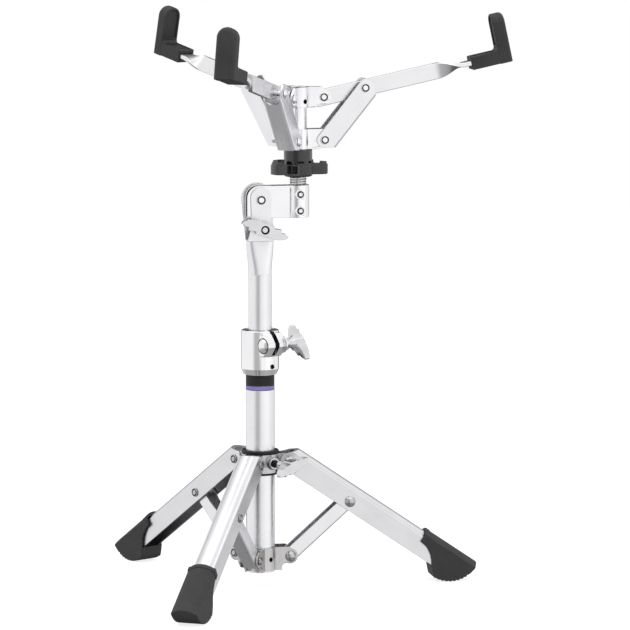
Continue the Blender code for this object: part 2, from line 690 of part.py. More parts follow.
def build_height_clamp():
    ring_in = NECK_R + GAP
    ring_low = NECK_BOTTOM + GAP
    ring_high = NECK_BOTTOM + RING_HEIGHT
    ring = turned([(BASE_TUBE_R, ring_high), (BASE_TUBE_R, ring_low), (ring_in, ring_low), (ring_in, ring_high)])
    place("accent_ring", take_mesh(ring), "lavender")

    lip = UPPER_TUBE_R + GAP
    sleeve_low = ring_high + GAP
    lip_low = NECK_TOP + GAP
    sleeve = turned([(SLEEVE_R, SLEEVE_TOP), (SLEEVE_R, sleeve_low), (ring_in, sleeve_low), (ring_in, lip_low),
                     (lip, lip_low), (lip, SLEEVE_TOP)])
    cut(sleeve, pin_hole(collar_pin_in, LUG_ANGLE, COLLAR_PIN_Z))
    place("collar_bush", take_mesh(sleeve), "nylon")

    bore = SLEEVE_R + GAP
    body = turned([(COLLAR_R - COLLAR_EDGE, COLLAR_TOP), (COLLAR_R, COLLAR_TOP - COLLAR_EDGE),
                   (COLLAR_R, COLLAR_STEP), (COLLAR_R - COLLAR_EDGE, COLLAR_STEP - COLLAR_EDGE),
                   (COLLAR_NECK_R, COLLAR_BOTTOM), (0, COLLAR_BOTTOM), (0, COLLAR_TOP)])
    swing = turn_z(LUG_ANGLE)
    knee = (LUG_NOSE - 2.4 * MM, LUG_HALF_HEIGHT * 0.52)
    root = (COLLAR_R + 0.8 * MM, LUG_HALF_HEIGHT)
    nose = [(bore, LUG_HALF_HEIGHT), root, knee, (LUG_NOSE, 1.6 * MM), (LUG_NOSE, -1.6 * MM)]
    nose += [(knee[0], -knee[1]), (root[0], -root[1]), (bore, -LUG_HALF_HEIGHT)]
    lug = side_plate([nose], LUG_BACK + LUG_FRONT, (LUG_FRONT - LUG_BACK) / 2)
    lug.data.transform(swing @ Matrix.Translation((0, 0, LUG_Z)))
    join(body, lug)
    cut(body, cylinder(bore, COLLAR_BOTTOM - 10 * MM, COLLAR_TOP + 10 * MM))
    slit_low = LUG_Z - LUG_HALF_HEIGHT + 1.2 * MM
    cut(body, box((0, -LUG_SLIT / 2, slit_low), (2 * LUG_NOSE, LUG_SLIT / 2, COLLAR_TOP + 5 * MM), swing))
    bolt_axis = swing @ Matrix.Translation((LUG_BOLT_OFFSET, 0, LUG_Z)) @ ALONG_Y
    cut(body, cylinder(CLAMP_BOLT_R + GAP, -60 * MM, 60 * MM, bolt_axis, SMALL_SIDES))
    cut(body, pin_hole(collar_pin_in, LUG_ANGLE, COLLAR_PIN_Z))
    place("height_collar", take_mesh(body), "chrome")
    spring_pin("collar_pin", collar_pin_in, LUG_ANGLE, COLLAR_PIN_Z)

    head_face = -LUG_BACK - GAP
    dome_r = (CLAMP_HEAD_R ** 2 + CLAMP_HEAD_H ** 2) / (2 * CLAMP_HEAD_H)
    dome_half = math.degrees(math.asin(CLAMP_HEAD_R / dome_r))
    dome = arc((0, head_face - CLAMP_HEAD_H + dome_r), dome_r, -90 + dome_half, -90, 4)
    end = LUG_FRONT + GAP + WING_NUT_LENGTH / 2
    bolt = turned([(0, end), (CLAMP_BOLT_R, end), (CLAMP_BOLT_R, head_face)] + dome, ALONG_Y, SMALL_SIDES + 6)
    axis_place = swing @ Vector((LUG_BOLT_OFFSET, 0, LUG_Z))
    place("height_bolt", take_mesh(bolt), "chrome", location=axis_place, turn=LUG_ANGLE)

    nut = wing(WING_NUT_LENGTH, HEIGHT_WING_TURN)
    cut(nut, cylinder(CLAMP_BOLT_R + GAP, -5 * MM, WING_NUT_LENGTH / 2 + GAP, sides=SMALL_SIDES))
    nut.data.transform(ALONG_Y)
    nut_place = swing @ Vector((LUG_BOLT_OFFSET, LUG_FRONT + GAP, LUG_Z))
    place("height_wing_nut", take_mesh(nut), "chrome", location=nut_place, turn=LUG_ANGLE)


# Tilter

def flare_solid():
    """Top of the upper tube, pressed from round to flat sided: a loft between unlike sections."""
    straight = (FORK_WIDTH - FORK_DEPTH) / 2
    heights = [FORK_FLARE_BOTTOM - 4 * MM, FORK_FLARE_BOTTOM]
    heights += [FORK_FLARE_BOTTOM + (FORK_FLARE_TOP - FORK_FLARE_BOTTOM) * i / 4 for i in range(1, 5)]
    heights.append(FORK_SOLID_TOP)
    work = bmesh.new()
    rings = []
    for z in heights:
        share = min(1.0, max(0.0, (z - FORK_FLARE_BOTTOM) / (FORK_FLARE_TOP - FORK_FLARE_BOTTOM)))
        blend = share * share * (3 - 2 * share)
        ring = []
        for index in range(SIDES):
            angle = math.tau * index / SIDES
            c = math.cos(angle)
            s = math.sin(angle)
            side = 0.0 if abs(c) < 1e-6 else math.copysign(straight, c)
            flat = Vector((side + FORK_DEPTH / 2 * c, FORK_DEPTH / 2 * s))
            round_ = Vector((UPPER_TUBE_R * c, UPPER_TUBE_R * s))
            point = round_.lerp(flat, blend)
            ring.append(work.verts.new((point.x, point.y, z)))
        rings.append(ring)
    for lower, upper in zip(rings, rings[1:]):
        for i in range(SIDES):
            j = (i + 1) % SIDES
            work.faces.new((lower[i], lower[j], upper[j], upper[i]))
    work.faces.new(rings[0][::-1])
    work.faces.new(rings[-1])
    mesh = bpy.data.meshes.new("flare")
    work.to_mesh(mesh)
    work.free()
    return blank(tidy(mesh))


def cheek_outline(radius, waist):
    low = FORK_FLARE_TOP - 4 * MM
    half = FORK_WIDTH / 2
    return (arc((0, PIVOT_Z), radius, 0, 180, 10)
            + [(-waist, FORK_SOLID_TOP + 8 * MM), (-half, FORK_SOLID_TOP), (-half + 3 * MM, low),
               (half - 3 * MM, low), (half, FORK_SOLID_TOP), (waist, FORK_SOLID_TOP + 8 * MM)])


def build_upper_tube(tilt):
    bore = UPPER_TUBE_R - UPPER_TUBE_WALL
    joint_z = FORK_FLARE_BOTTOM - 2 * MM
    shape = turned([(UPPER_TUBE_R, joint_z), (UPPER_TUBE_R, UPPER_TUBE_BOTTOM), (bore, UPPER_TUBE_BOTTOM),
                    (bore, joint_z - 6 * MM), (0, joint_z - 6 * MM), (0, joint_z)])
    join(shape, flare_solid())
    cheek_y = (FORK_DEPTH - CHEEK_THICK) / 2
    join(shape, side_plate([cheek_outline(CHEEK_FRONT_R, CHEEK_FRONT_R + 0.4 * MM)], CHEEK_THICK, -cheek_y))
    join(shape, side_plate([cheek_outline(CHEEK_BACK_R, FORK_WIDTH / 2)], CHEEK_THICK, cheek_y))
    cut(shape, hole_y(TILTER_RIVET_R + GAP, 0, PIVOT_Z))
    cut(shape, hole_y(WING_BOLT_R + GAP, 0, PIVOT_Z - TILTER_WING_DROP))
    place("upper_tube", take_mesh(shape), "anodised")

    pin = rivet(FORK_DEPTH + GAP, TILTER_RIVET_R, 4.4 * MM, 2.2 * MM, 4.6 * MM, 1.4 * MM)
    place("tilter_rivet", take_mesh(pin), "chrome", tilt)

    wing_z = PIVOT_Z - TILTER_WING_DROP
    nut_back = FORK_DEPTH / 2 + GAP
    nut = cylinder(TILTER_NUT_R, nut_back, nut_back + TILTER_NUT_H, ALONG_Y, 6)
    cut(nut, hole_y(WING_BOLT_R + GAP, 0, 0))
    place("tilter_nut", take_mesh(nut), "chrome", location=(0, 0, wing_z))
    face = FORK_DEPTH / 2 + GAP
    reach = FORK_DEPTH + TILTER_NUT_H + 3 * GAP
    bolt = wing(WING_LENGTH, TILTER_WING_TURN)
    join(bolt, cylinder(WING_BOLT_R, -reach, WING_LENGTH / 2, sides=SMALL_SIDES))
    bolt.data.transform(ALONG_Y @ Matrix.Rotation(math.pi, 4, "X"))
    place("tilter_wing_bolt", take_mesh(bolt), "chrome", location=(0, -face, wing_z))


def bracket_plan():
    """Plan of the bent strip: two plates side by side, opening into a loop round the rod."""
    outer = ROD_R + GAP + BRACKET_SHEET
    inner = ROD_R + GAP
    outer_angle = math.degrees(math.asin(BRACKET_HALF / outer))
    half_in = BRACKET_HALF - BRACKET_SHEET
    inner_angle = math.degrees(math.asin(half_in / inner))
    centre = (ROD_OFFSET, 0)
    far = -BRACKET_END - 5 * MM
    loop_out = arc(centre, outer, -180 + outer_angle, 180 - outer_angle, 14)
    loop_in = arc(centre, inner, 180 - inner_angle, -180 + inner_angle, 14)
    return [(far, -BRACKET_HALF)] + loop_out + [(far, BRACKET_HALF), (far, half_in)] + loop_in + [(far, -half_in)]


def build_tilter(tilt):
    """Pieces that tilt. Their frame has its origin on the tilter's pivot."""
    height = BRACKET_ABOVE + BRACKET_BELOW
    middle = (BRACKET_ABOVE - BRACKET_BELOW) / 2
    shape = plate([bracket_plan()], height, Matrix.Translation((0, 0, middle)))
    right = ROD_OFFSET + 2 * ROD_R
    trim = arc((0, 0), BRACKET_END, 90, 180, 6) + [(-BRACKET_END, -BRACKET_BELOW - 5 * MM)]
    trim += [(right, -BRACKET_BELOW - 5 * MM), (right, BRACKET_ABOVE + 5 * MM), (0, BRACKET_ABOVE + 5 * MM)]
    keep_common(shape, side_plate([trim], 6 * ROD_R))
    cut(shape, hole_y(TILTER_RIVET_R + GAP, 0, 0))
    rod = cylinder(ROD_R, ROD_BOTTOM - PIVOT_Z, ROD_TOP - PIVOT_Z, Matrix.Translation((ROD_OFFSET, 0, 0)))
    for z in ROD_BOLT_HEIGHTS.values():
        cut(shape, hole_y(ROD_BOLT_R + GAP, ROD_OFFSET, z - PIVOT_Z))
        cut(rod, hole_y(ROD_BOLT_R + GAP, ROD_OFFSET, z - PIVOT_Z))
    cut(rod, pin_hole(hub_pin_in, LUG_ANGLE, HUB_PIN_Z - PIVOT_Z, ROD_OFFSET))
    place("tilter_bracket", take_mesh(shape), "chrome", tilt)
    place("threaded_rod", take_mesh(rod), "chrome", tilt)

    face = ROD_R + GAP + BRACKET_SHEET + GAP
    for name, z in ROD_BOLT_HEIGHTS.items():
        bolt = turned([(0, face + 1.5 * MM), (ROD_BOLT_R, face + 1.5 * MM), (ROD_BOLT_R, -face),
                       (ROD_BOLT_WASHER_R, -face), (ROD_BOLT_WASHER_R, -face - ROD_BOLT_WASHER_H),
                       (0, -face - ROD_BOLT_WASHER_H)], ALONG_Y, SMALL_SIDES)
        head_low = -face - ROD_BOLT_WASHER_H - ROD_BOLT_HEAD_H
        join(bolt, cylinder(ROD_BOLT_HEAD_R, head_low, -face - ROD_BOLT_WASHER_H / 2, ALONG_Y, 6))
        place(name, take_mesh(bolt), "chrome", tilt, (ROD_OFFSET, 0, z - PIVOT_Z))


# Basket. Its frame has its origin on the rod's axis at floor level.

def build_hub(hub):
    bore = ROD_R + GAP
    edge = ear_outline(bore, HUB_RING_BOTTOM, HUB_RING_TOP, (ARM_PIVOT_R, ARM_PIVOT_Z), HUB_EAR_R)
    hole = ring_of((ARM_PIVOT_R, ARM_PIVOT_Z), ARM_RIVET_R + GAP)
    ring = eared_ring(bore, HUB_RING_WALL, HUB_RING_BOTTOM, HUB_RING_TOP, [edge, hole], HUB_EAR_INNER)
    cut(ring, pin_hole(hub_pin_in, LUG_ANGLE, HUB_PIN_Z))
    place("arm_bracket", take_mesh(ring), "chrome", hub)
    spring_pin("hub_pin", hub_pin_in, LUG_ANGLE, HUB_PIN_Z, hub)

    x, z = LINK_PIVOT_R, LINK_PIVOT_Z
    slot_half = ARM_RIVET_R + GAP + COLLAR_SLOT_PLAY
    slot_end = (x + COLLAR_SLOT_RUN.x, z + COLLAR_SLOT_RUN.y)
    slope = math.degrees(math.atan2(COLLAR_SLOT_RUN.y, COLLAR_SLOT_RUN.x))
    ear = [(bore * 0.5, COLLAR_RING_BOTTOM), (bore * 0.5, COLLAR_RING_TOP), (x - 1.0 * MM, COLLAR_RING_TOP)]
    ear += arc(slot_end, COLLAR_EAR_TIP_R, 80, -45, 5) + arc((x, z), COLLAR_EAR_R, -40, -100, 3)
    ear.append((x - 3.6 * MM, COLLAR_RING_BOTTOM))
    slot = arc((x, z), slot_half, slope + 90, slope + 270, 5) + arc(slot_end, slot_half, slope - 90, slope + 90, 5)
    collar = eared_ring(bore, HUB_RING_WALL, COLLAR_RING_BOTTOM, COLLAR_RING_TOP, [ear, slot], collar_ear_inner)
    place("slide_collar", take_mesh(collar), "chrome", hub)


def lobed_outline(inset=0.0):
    """Five-lobed edge of the basket nut, drawn in by a distance."""
    points = []
    steps = 10
    for index in range(NUT_LOBES * steps):
        angle = math.tau * index / (NUT_LOBES * steps)
        wave = 0.5 + 0.5 * math.cos(NUT_LOBES * angle)
        radius = NUT_LOBE_WAIST + (NUT_LOBE_R - NUT_LOBE_WAIST) * min(1.0, 1.25 * wave) ** 0.8
        radius -= inset
        points.append((radius * math.cos(angle), radius * math.sin(angle)))
    return points


def build_basket_nut(hub):
    body = turned([(NUT_HUB_R - 0.6 * MM, NUT_TOP), (NUT_HUB_R, NUT_TOP - 0.6 * MM), (NUT_HUB_R, NUT_BOTTOM + 1 * MM),
                   (NUT_HUB_R - 1 * MM, NUT_BOTTOM), (0, NUT_BOTTOM), (0, NUT_TOP)])
    lobe_mid = (NUT_LOBE_BOTTOM + NUT_LOBE_TOP) / 2
    lobes = plate([lobed_outline()], NUT_LOBE_TOP - NUT_LOBE_BOTTOM, Matrix.Translation((0, 0, lobe_mid)))
    pads = plate([lobed_outline(NUT_PAD_INSET)], NUT_PAD_TOP - lobe_mid, Matrix.Translation((0, 0, (NUT_PAD_TOP + lobe_mid) / 2)))
    cut(pads, cylinder(NUT_PAD_INNER, lobe_mid - 5 * MM, NUT_PAD_TOP + 5 * MM))
    join(lobes, pads)
    join(body, lobes)
    cut(body, cylinder(ROD_R + GAP, NUT_BOTTOM - 5 * MM, NUT_TOP + 5 * MM))
    place("basket_nut", take_mesh(body), "gloss_black", hub, turn=NUT_FIRST_LOBE)


def arm_path(start):
    """Middle line of the bar in the arm's frame, as (x, z, twist): on edge, twisted flat, bent up."""
    points = [(start, -ARM_DROP, 0.0)] if start < TWIST_START else []
    if start < TWIST_START:
        steps = 6
        for i in range(steps + 1):
            share = i / steps
            x = TWIST_START + (TWIST_END - TWIST_START) * share
            points.append((x, -ARM_DROP, math.pi / 2 * share * share * (3 - 2 * share)))
    else:
        points.append((start, -ARM_DROP, math.pi / 2))
    bend = arc((ARM_BEND_AT - ARM_BEND_R, -ARM_DROP + ARM_BEND_R), ARM_BEND_R, -90, 0, 3)
    points += [(x, z, math.pi / 2) for x, z in bend]
    points.append((ARM_BEND_AT, ARM_TIP, math.pi / 2))
    return points


def bar_along(points, height, thickness):
    """Flat bar swept along a path, turned about its length by each point's twist."""
    edge = bpy.data.curves.new("bar_section", "CURVE")
    edge.dimensions = "2D"
    add_loop(edge, [(-thickness / 2, -height / 2), (thickness / 2, -height / 2),
                    (thickness / 2, height / 2), (-thickness / 2, height / 2)])
    section = bpy.data.objects.new("bar_section", edge)
    bench.objects.link(section)
    curve = bpy.data.curves.new("bar", "CURVE")
    curve.dimensions = "3D"
    curve.twist_mode = "MINIMUM"
    curve.bevel_mode = "OBJECT"
    curve.bevel_object = section
    curve.use_fill_caps = True
    spline = curve.splines.new("POLY")
    spline.points.add(len(points) - 1)
    for point, (x, z, twist) in zip(spline.points, points):
        point.co = (x, 0.0, z, 1.0)
        point.tilt = twist
    bar = from_curve(curve)
    bpy.data.objects.remove(section, do_unlink=True)
    return bar


def build_arms(basket):
    bar = bar_along(arm_path(-ARM_BACK), ARM_HEIGHT, ARM_THICK)
    cut(bar, hole_y(ARM_RIVET_R + GAP, 0, 0))
    cut(bar, hole_y(ARM_RIVET_R + GAP, ARM_TO_LINK, 0))
    return place_at_stations("arm", bar, "anodised", basket, (ARM_PIVOT_R, 0, ARM_PIVOT_Z), -ARM_RISE)


def build_grips(arms):
    """Claw: an L with rounded corners, a shallow recess on its inner face and a pocket for the bar."""
    inner = GRIP_UPRIGHT_INNER
    corner = GRIP_CORNER
    outline = [(GRIP_INNER_END, GRIP_BOTTOM), (GRIP_OUTER - 1.5 * MM, GRIP_BOTTOM), (GRIP_OUTER, GRIP_BOTTOM + 1.5 * MM)]
    outline += arc((GRIP_OUTER - corner, GRIP_TOP - corner), corner, 0, 90, 3)
    outline += arc((inner + 1.6 * MM, GRIP_TOP - 1.6 * MM), 1.6 * MM, 90, 180, 2)
    outline += arc((inner - 3 * MM, GRIP_SEAT + 3 * MM), 3 * MM, 0, -90, 3)
    outline.append((GRIP_INNER_END, GRIP_SEAT))
    shape = side_plate([outline], 2 * GRIP_HALF_WIDTH)
    round_edges(shape, GRIP_EDGE)
    margin = GRIP_RECESS_MARGIN
    cut(shape, box((inner - 5 * MM, margin - GRIP_HALF_WIDTH, GRIP_SEAT + 3 * MM + margin),
                   (inner + GRIP_RECESS_DEPTH, GRIP_HALF_WIDTH - margin, GRIP_TOP - 2 * margin)))
    pocket = bar_along(arm_path(GRIP_INNER_END - 10 * MM)[:-1] + [(ARM_BEND_AT, ARM_TIP + GAP, math.pi / 2)],
                       ARM_HEIGHT + 2 * GAP, ARM_THICK + 2 * GAP)
    cut(shape, pocket)
    mesh = take_mesh(shape)
    for index, arm in enumerate(arms):
        place(f"grip_{index + 1}", mesh, "rubber", arm)


def build_links(arms):
    """Link frame: X runs from the arm's rivet to the collar's, Z is the web's side."""
    half = LINK_HALF_WIDTH
    inner = half - SHEET
    web = LINK_OUTER_SIDE
    low = -LINK_INNER_SIDE
    channel = [(half, low), (half, web), (-half, web), (-half, low), (-inner, low), (-inner, web - SHEET),
               (inner, web - SHEET), (inner, low)]
    shape = extrude_x(channel, -20 * MM, link_length + 20 * MM)
    r = LINK_END_R
    trim = arc((0, 0), r, -90, -270, 6) + [(LINK_WEB_START - 1.5 * MM, r), (LINK_WEB_START, 2 * web)]
    trim.append((link_length + 3.5 * MM, 2 * web))
    trim += arc((link_length, 0), r, 50, -90, 6)
    keep_common(shape, side_plate([trim], 4 * half))
    scallop = cylinder(LINK_SCALLOP_R, 0, 2 * web, Matrix.Translation((LINK_WEB_START, 0, 0)))
    cut(shape, scallop)
    cut(shape, hole_y(ARM_RIVET_R + GAP, 0, 0))
    cut(shape, hole_y(ARM_RIVET_R + GAP, link_length, 0))
    fall = link_rise - ARM_RISE
    return place_at_stations("link", shape, "anodised", arms, (ARM_TO_LINK, 0, 0), math.pi - fall)


def build_basket_rivets(basket, links):
    sizes = (ARM_RIVET_R, ARM_HEAD_R, ARM_HEAD_H, ARM_TAIL_R, RIVET_TAIL_H)
    flip = math.pi
    hub_rivet = rivet(2 * (HUB_EAR_INNER + SHEET) + GAP, *sizes)
    hub_rivet.data.transform(turn_z(flip))
    place_at_stations("arm_pivot_rivet", hub_rivet, "chrome", basket, (ARM_PIVOT_R, 0, ARM_PIVOT_Z))
    link_rivet = rivet(2 * LINK_HALF_WIDTH + GAP, *sizes)
    link_rivet.data.transform(turn_z(flip))
    place_at_stations("arm_link_rivet", link_rivet, "chrome", links)
    collar_rivet = rivet(2 * LINK_HALF_WIDTH + GAP, *sizes)
    collar_rivet.data.transform(turn_z(flip))
    place_at_stations("link_collar_rivet", collar_rivet, "chrome", links, (link_length, 0, 0))


# Sizes that follow from the driving dimensions
strut_top = Vector((LEG_PIVOT_R + LEG_TO_STRUT * math.cos(LEG_SLOPE),
                    LEG_PIVOT_Z - LEG_TO_STRUT * math.sin(LEG_SLOPE)))
strut_run = strut_top - Vector((STRUT_PIVOT_R, STRUT_PIVOT_Z))
strut_length = strut_run.length
strut_rise = math.atan2(strut_run.y, strut_run.x)
link_top = Vector((ARM_PIVOT_R + ARM_TO_LINK * math.cos(ARM_RISE),
                   ARM_PIVOT_Z + ARM_TO_LINK * math.sin(ARM_RISE)))
link_run = link_top - Vector((LINK_PIVOT_R, LINK_PIVOT_Z))
link_length = link_run.length
link_rise = math.atan2(link_run.y, link_run.x)
lower_ear_inner = STRUT_WIDTH / 2 + GAP
upper_ear_inner = LEG_WIDTH / 2 - LEG_WALL - GAP - SHEET
collar_ear_inner = LINK_HALF_WIDTH - SHEET - GAP - SHEET
lower_pin_in = BASE_TUBE_R + GAP + SHEET - PIN_LENGTH
collar_pin_in = COLLAR_R - PIN_LENGTH
hub_pin_in = ROD_R + GAP + HUB_RING_WALL - PIN_LENGTH

clear_scene()
stand = new_collection("snare_drum_stand")
bench = new_collection("bench")

legs_round = [empty(f"tripod_{i + 1}", turn=i * STATION_STEP) for i in range(STATIONS)]
tilt_axis = empty("tilt_axis", (0, 0, PIVOT_Z))
rod_axis = empty("rod_axis", (ROD_OFFSET, 0, -PIVOT_Z), parent=tilt_axis)
arms_round = [empty(f"basket_{i + 1}", turn=i * STATION_STEP, parent=rod_axis) for i in range(STATIONS)]

build_base_tube()
build_lower_spider()
build_upper_spider()
tripod_legs = build_legs(legs_round)
build_feet(tripod_legs)
build_struts(legs_round)
build_tripod_rivets(legs_round, tripod_legs)
build_height_clamp()
build_upper_tube(tilt_axis)
build_tilter(tilt_axis)
build_hub(rod_axis)
build_basket_nut(rod_axis)
basket_arms = build_arms(arms_round)
build_grips(basket_arms)
basket_links = build_links(basket_arms)
build_basket_rivets(arms_round, basket_links)
bpy.data.collections.remove(bench)
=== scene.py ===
"""Looks of the folding snare drum stand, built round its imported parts. Sizes in millimetres, +Z up."""
import json
import math

import bmesh
import bpy
from mathutils import Matrix, Vector


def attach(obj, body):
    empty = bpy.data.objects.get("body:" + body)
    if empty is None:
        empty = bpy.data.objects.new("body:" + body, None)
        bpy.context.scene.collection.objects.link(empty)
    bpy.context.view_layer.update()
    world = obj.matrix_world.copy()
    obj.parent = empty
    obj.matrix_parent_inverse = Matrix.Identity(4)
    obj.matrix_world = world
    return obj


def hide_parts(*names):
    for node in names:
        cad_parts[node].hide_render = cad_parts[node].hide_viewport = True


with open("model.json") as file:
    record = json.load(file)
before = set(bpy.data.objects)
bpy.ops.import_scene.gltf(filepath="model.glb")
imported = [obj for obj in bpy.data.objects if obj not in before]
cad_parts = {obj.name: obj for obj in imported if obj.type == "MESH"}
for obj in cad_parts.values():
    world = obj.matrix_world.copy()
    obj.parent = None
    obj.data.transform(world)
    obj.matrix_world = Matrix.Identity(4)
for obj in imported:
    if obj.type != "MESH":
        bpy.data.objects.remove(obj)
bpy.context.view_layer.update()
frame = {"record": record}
record = frame["record"]
BODY_OF = {node: body for body, nodes in record["behaviour"]["bodies"].items() for node in nodes}
TO_METRES = Matrix.Scale(0.001, 4)
GAP = 0.3
looks = {}


def shift(x=0.0, y=0.0, z=0.0):
    return Matrix.Translation((x, y, z))


def turn(degrees, axis="Z"):
    return Matrix.Rotation(math.radians(degrees), 4, axis)


SIDE_VIEW = turn(90, "X")         # an outline's x stays, its y becomes Z
CROSS_SECTION = Matrix(((0, 0, 1, 0), (1, 0, 0, 0), (0, 1, 0, 0), (0, 0, 0, 1)))   # x to Y, y to Z
ALONG_X = turn(90, "Y")
ALONG_Y = turn(-90, "X")

# Frames of the stations: legs, struts, arms and links come in threes.
# A pivot is given as its distance from the tube's or the rod's axis, and its height.
LEG_SLOPE = 34.4
ARM_RISE = 12.2
LEG_PIVOT = (24.6, 111.9)
STRUT_PIVOT = (25.6, 27.6)
ARM_PIVOT = (22.2, 432.4)
LINK_PIVOT = (22.3, 395.3)
STRUT_ON_LEG = 65.7               # from the leg's pivot
LINK_ON_ARM = 37.0                # from the arm's pivot
FOOT_R = 169.5                    # where a boot touches the floor, from the tube's axis
PIVOT_Z = 343.6                   # the tilter's pivot
SCREW_Z = PIVOT_Z - 24.4          # the tilter's clamp screw
ROD_X = 34.0
STATIONS = [turn(120 * i) for i in range(3)]


def lifted(pivot):
    return shift(pivot[0], 0, pivot[1])


def run_to_bar(pivot, slope, along, start):
    """Line from a start to a point along a bar that slopes away from a pivot, in a station's plane."""
    return Vector(pivot) + Matrix.Rotation(math.radians(slope), 2) @ Vector((along, 0)) - Vector(start)


strut_run = run_to_bar(LEG_PIVOT, -LEG_SLOPE, STRUT_ON_LEG, STRUT_PIVOT)
strut_rise = math.degrees(math.atan2(strut_run.y, strut_run.x))
link_run = run_to_bar(ARM_PIVOT, ARM_RISE, LINK_ON_ARM, LINK_PIVOT)
link_rise = math.degrees(math.atan2(link_run.y, link_run.x))
LEGS = [s @ lifted(LEG_PIVOT) @ turn(LEG_SLOPE, "Y") for s in STATIONS]
STRUTS = [s @ lifted(STRUT_PIVOT) @ turn(-strut_rise, "Y") for s in STATIONS]
TILT = shift(z=PIVOT_Z)
ROD = shift(ROD_X)
HUBS = [ROD @ s for s in STATIONS]
ARMS = [h @ lifted(ARM_PIVOT) @ turn(-ARM_RISE, "Y") for h in HUBS]
LINKS = [a @ shift(LINK_ON_ARM) @ turn(180 - link_rise + ARM_RISE, "Y") for a in ARMS]
LUG = turn(-60)                   # the clamp's lug, the spider's wing and the pins point between two legs


# Outlines

def arc(centre, radius, start, end, steps):
    cx, cy = centre
    angles = [math.radians(start + (end - start) * i / steps) for i in range(steps + 1)]
    return [(cx + radius * math.cos(a), cy + radius * math.sin(a)) for a in angles]


def circle(centre, radius, steps=40):
    return arc(centre, radius, 0, 360, steps)[:-1]


def rounded(points, radius, steps=4):
    """Closed outline with its corners rounded. A third value on a point is that corner's own radius."""
    out = []
    for i, corner in enumerate(points):
        here = Vector(corner[:2])
        back = Vector(points[i - 1][:2]) - here
        ahead = Vector(points[(i + 1) % len(points)][:2]) - here
        want = corner[2] if len(corner) > 2 else radius
        half = back.angle(ahead) / 2
        reach = 0.0
        if 0.01 < half < 1.4:
            reach = min(want / math.tan(half), 0.45 * back.length, 0.45 * ahead.length)
        if reach < 1e-3:
            out.append((here.x, here.y))
            continue
        bend = reach * math.tan(half)
        centre = here + (back.normalized() + ahead.normalized()).normalized() * (bend / math.sin(half))
        first = here + back.normalized() * reach - centre
        last = here + ahead.normalized() * reach - centre
        start = math.degrees(math.atan2(first.y, first.x))
        sweep = (math.degrees(math.atan2(last.y, last.x)) - start + 180) % 360 - 180
        out += arc(centre, bend, start, start + sweep, steps)
    return out


# Loose solids

def loose(mesh):
    obj = bpy.data.objects.new("loose", mesh)
    bpy.context.scene.collection.objects.link(obj)
    return obj


def weld(mesh, place=Matrix()):
    work = bmesh.new()
    work.from_mesh(mesh)
    bmesh.ops.remove_doubles(work, verts=work.verts, dist=1e-4)
    bmesh.ops.recalc_face_normals(work, faces=work.faces)
    bmesh.ops.transform(work, matrix=place, verts=work.verts)
    work.to_mesh(mesh)
    work.free()
    return mesh


def solid(points, faces, place=Matrix()):
    mesh = bpy.data.meshes.new("solid")
    mesh.from_pydata(points, [], faces)
    return loose(weld(mesh, place))


def baked(obj):
    bpy.context.view_layer.update()
    graph = bpy.context.evaluated_depsgraph_get()
    made = obj.evaluated_get(graph)
    return bpy.data.meshes.new_from_object(made, preserve_all_data_layers=True, depsgraph=graph)


def loft(rings, place=Matrix()):
    """Solid skin over a row of equal rings of points, closed at both ends."""
    count = len(rings[0])
    points = [p for ring in rings for p in ring]
    faces = [tuple(range(count))[::-1], tuple(range(len(points) - count, len(points)))]
    for k in range(len(rings) - 1):
        for i in range(count):
            j = (i + 1) % count
            faces.append((k * count + i, k * count + j, (k + 1) * count + j, (k + 1) * count + i))
    return solid(points, faces, place)


def lathe(profile, edge=0.3, steps=72, place=Matrix()):
    """Closed (radius, height) profile turned round Z, its corners rounded by edge."""
    corners = [(p[0], p[1], 0.0 if p[0] == 0 else (p[2] if len(p) > 2 else edge)) for p in profile]
    line = rounded(corners, edge, 3)
    count = len(line)
    points = []
    faces = []
    for k in range(steps):
        angle = math.tau * k / steps
        points += [(r * math.cos(angle), r * math.sin(angle), z) for r, z in line]
        for i in range(count):
            j = (i + 1) % count
            n = (k + 1) % steps
            faces.append((k * count + i, n * count + i, n * count + j, k * count + j))
    return solid(points, faces, place)


def rod(radius, low, high, place=Matrix(), steps=40):
    return lathe([(0, high), (radius, high), (radius, low), (0, low)], 0.0, steps, place)


def plate(loops, thickness, place=Matrix()):
    """Flat solid centred on its outline's plane: the first loop is its edge, the others are holes."""
    curve = bpy.data.curves.new("outline", "CURVE")
    curve.dimensions = "2D"
    curve.fill_mode = "BOTH"
    curve.extrude = thickness / 2
    for loop in loops:
        spline = curve.splines.new("POLY")
        spline.points.add(len(loop) - 1)
        for point, (x, y) in zip(spline.points, loop):
            point.co = (x, y, 0.0, 1.0)
        spline.use_cyclic_u = True
    obj = loose(curve)
    mesh = baked(obj)
    bpy.data.objects.remove(obj, do_unlink=True)
    return loose(weld(mesh, place))


def side_plate(loops, width, y=0.0, place=Matrix()):
    return plate(loops, width, place @ shift(y=y) @ SIDE_VIEW)


def extrude_x(loop, start, end):
    return plate([loop], end - start, shift((start + end) / 2) @ CROSS_SECTION)


def box(low, high, place=Matrix()):
    middle = [(a + b) / 2 for a, b in zip(low, high)]
    x, y, z = [(b - a) / 2 for a, b in zip(low, high)]
    return plate([[(-x, -y), (x, -y), (x, y), (-x, y)]], 2 * z, place @ shift(*middle))


def hole_y(radius, x, z):
    return rod(radius, -60, 60, shift(x, 0, z) @ ALONG_Y)


def combine(body, tool, operation):
    step = body.modifiers.new("step", "BOOLEAN")
    step.operation = operation
    step.solver = "EXACT"
    step.object = tool
    mesh = baked(body)
    body.modifiers.clear()
    body.data = weld(mesh)
    bpy.data.objects.remove(tool, do_unlink=True)
    return body


def join(body, tool):
    return combine(body, tool, "UNION")


def cut(body, tool):
    return combine(body, tool, "DIFFERENCE")


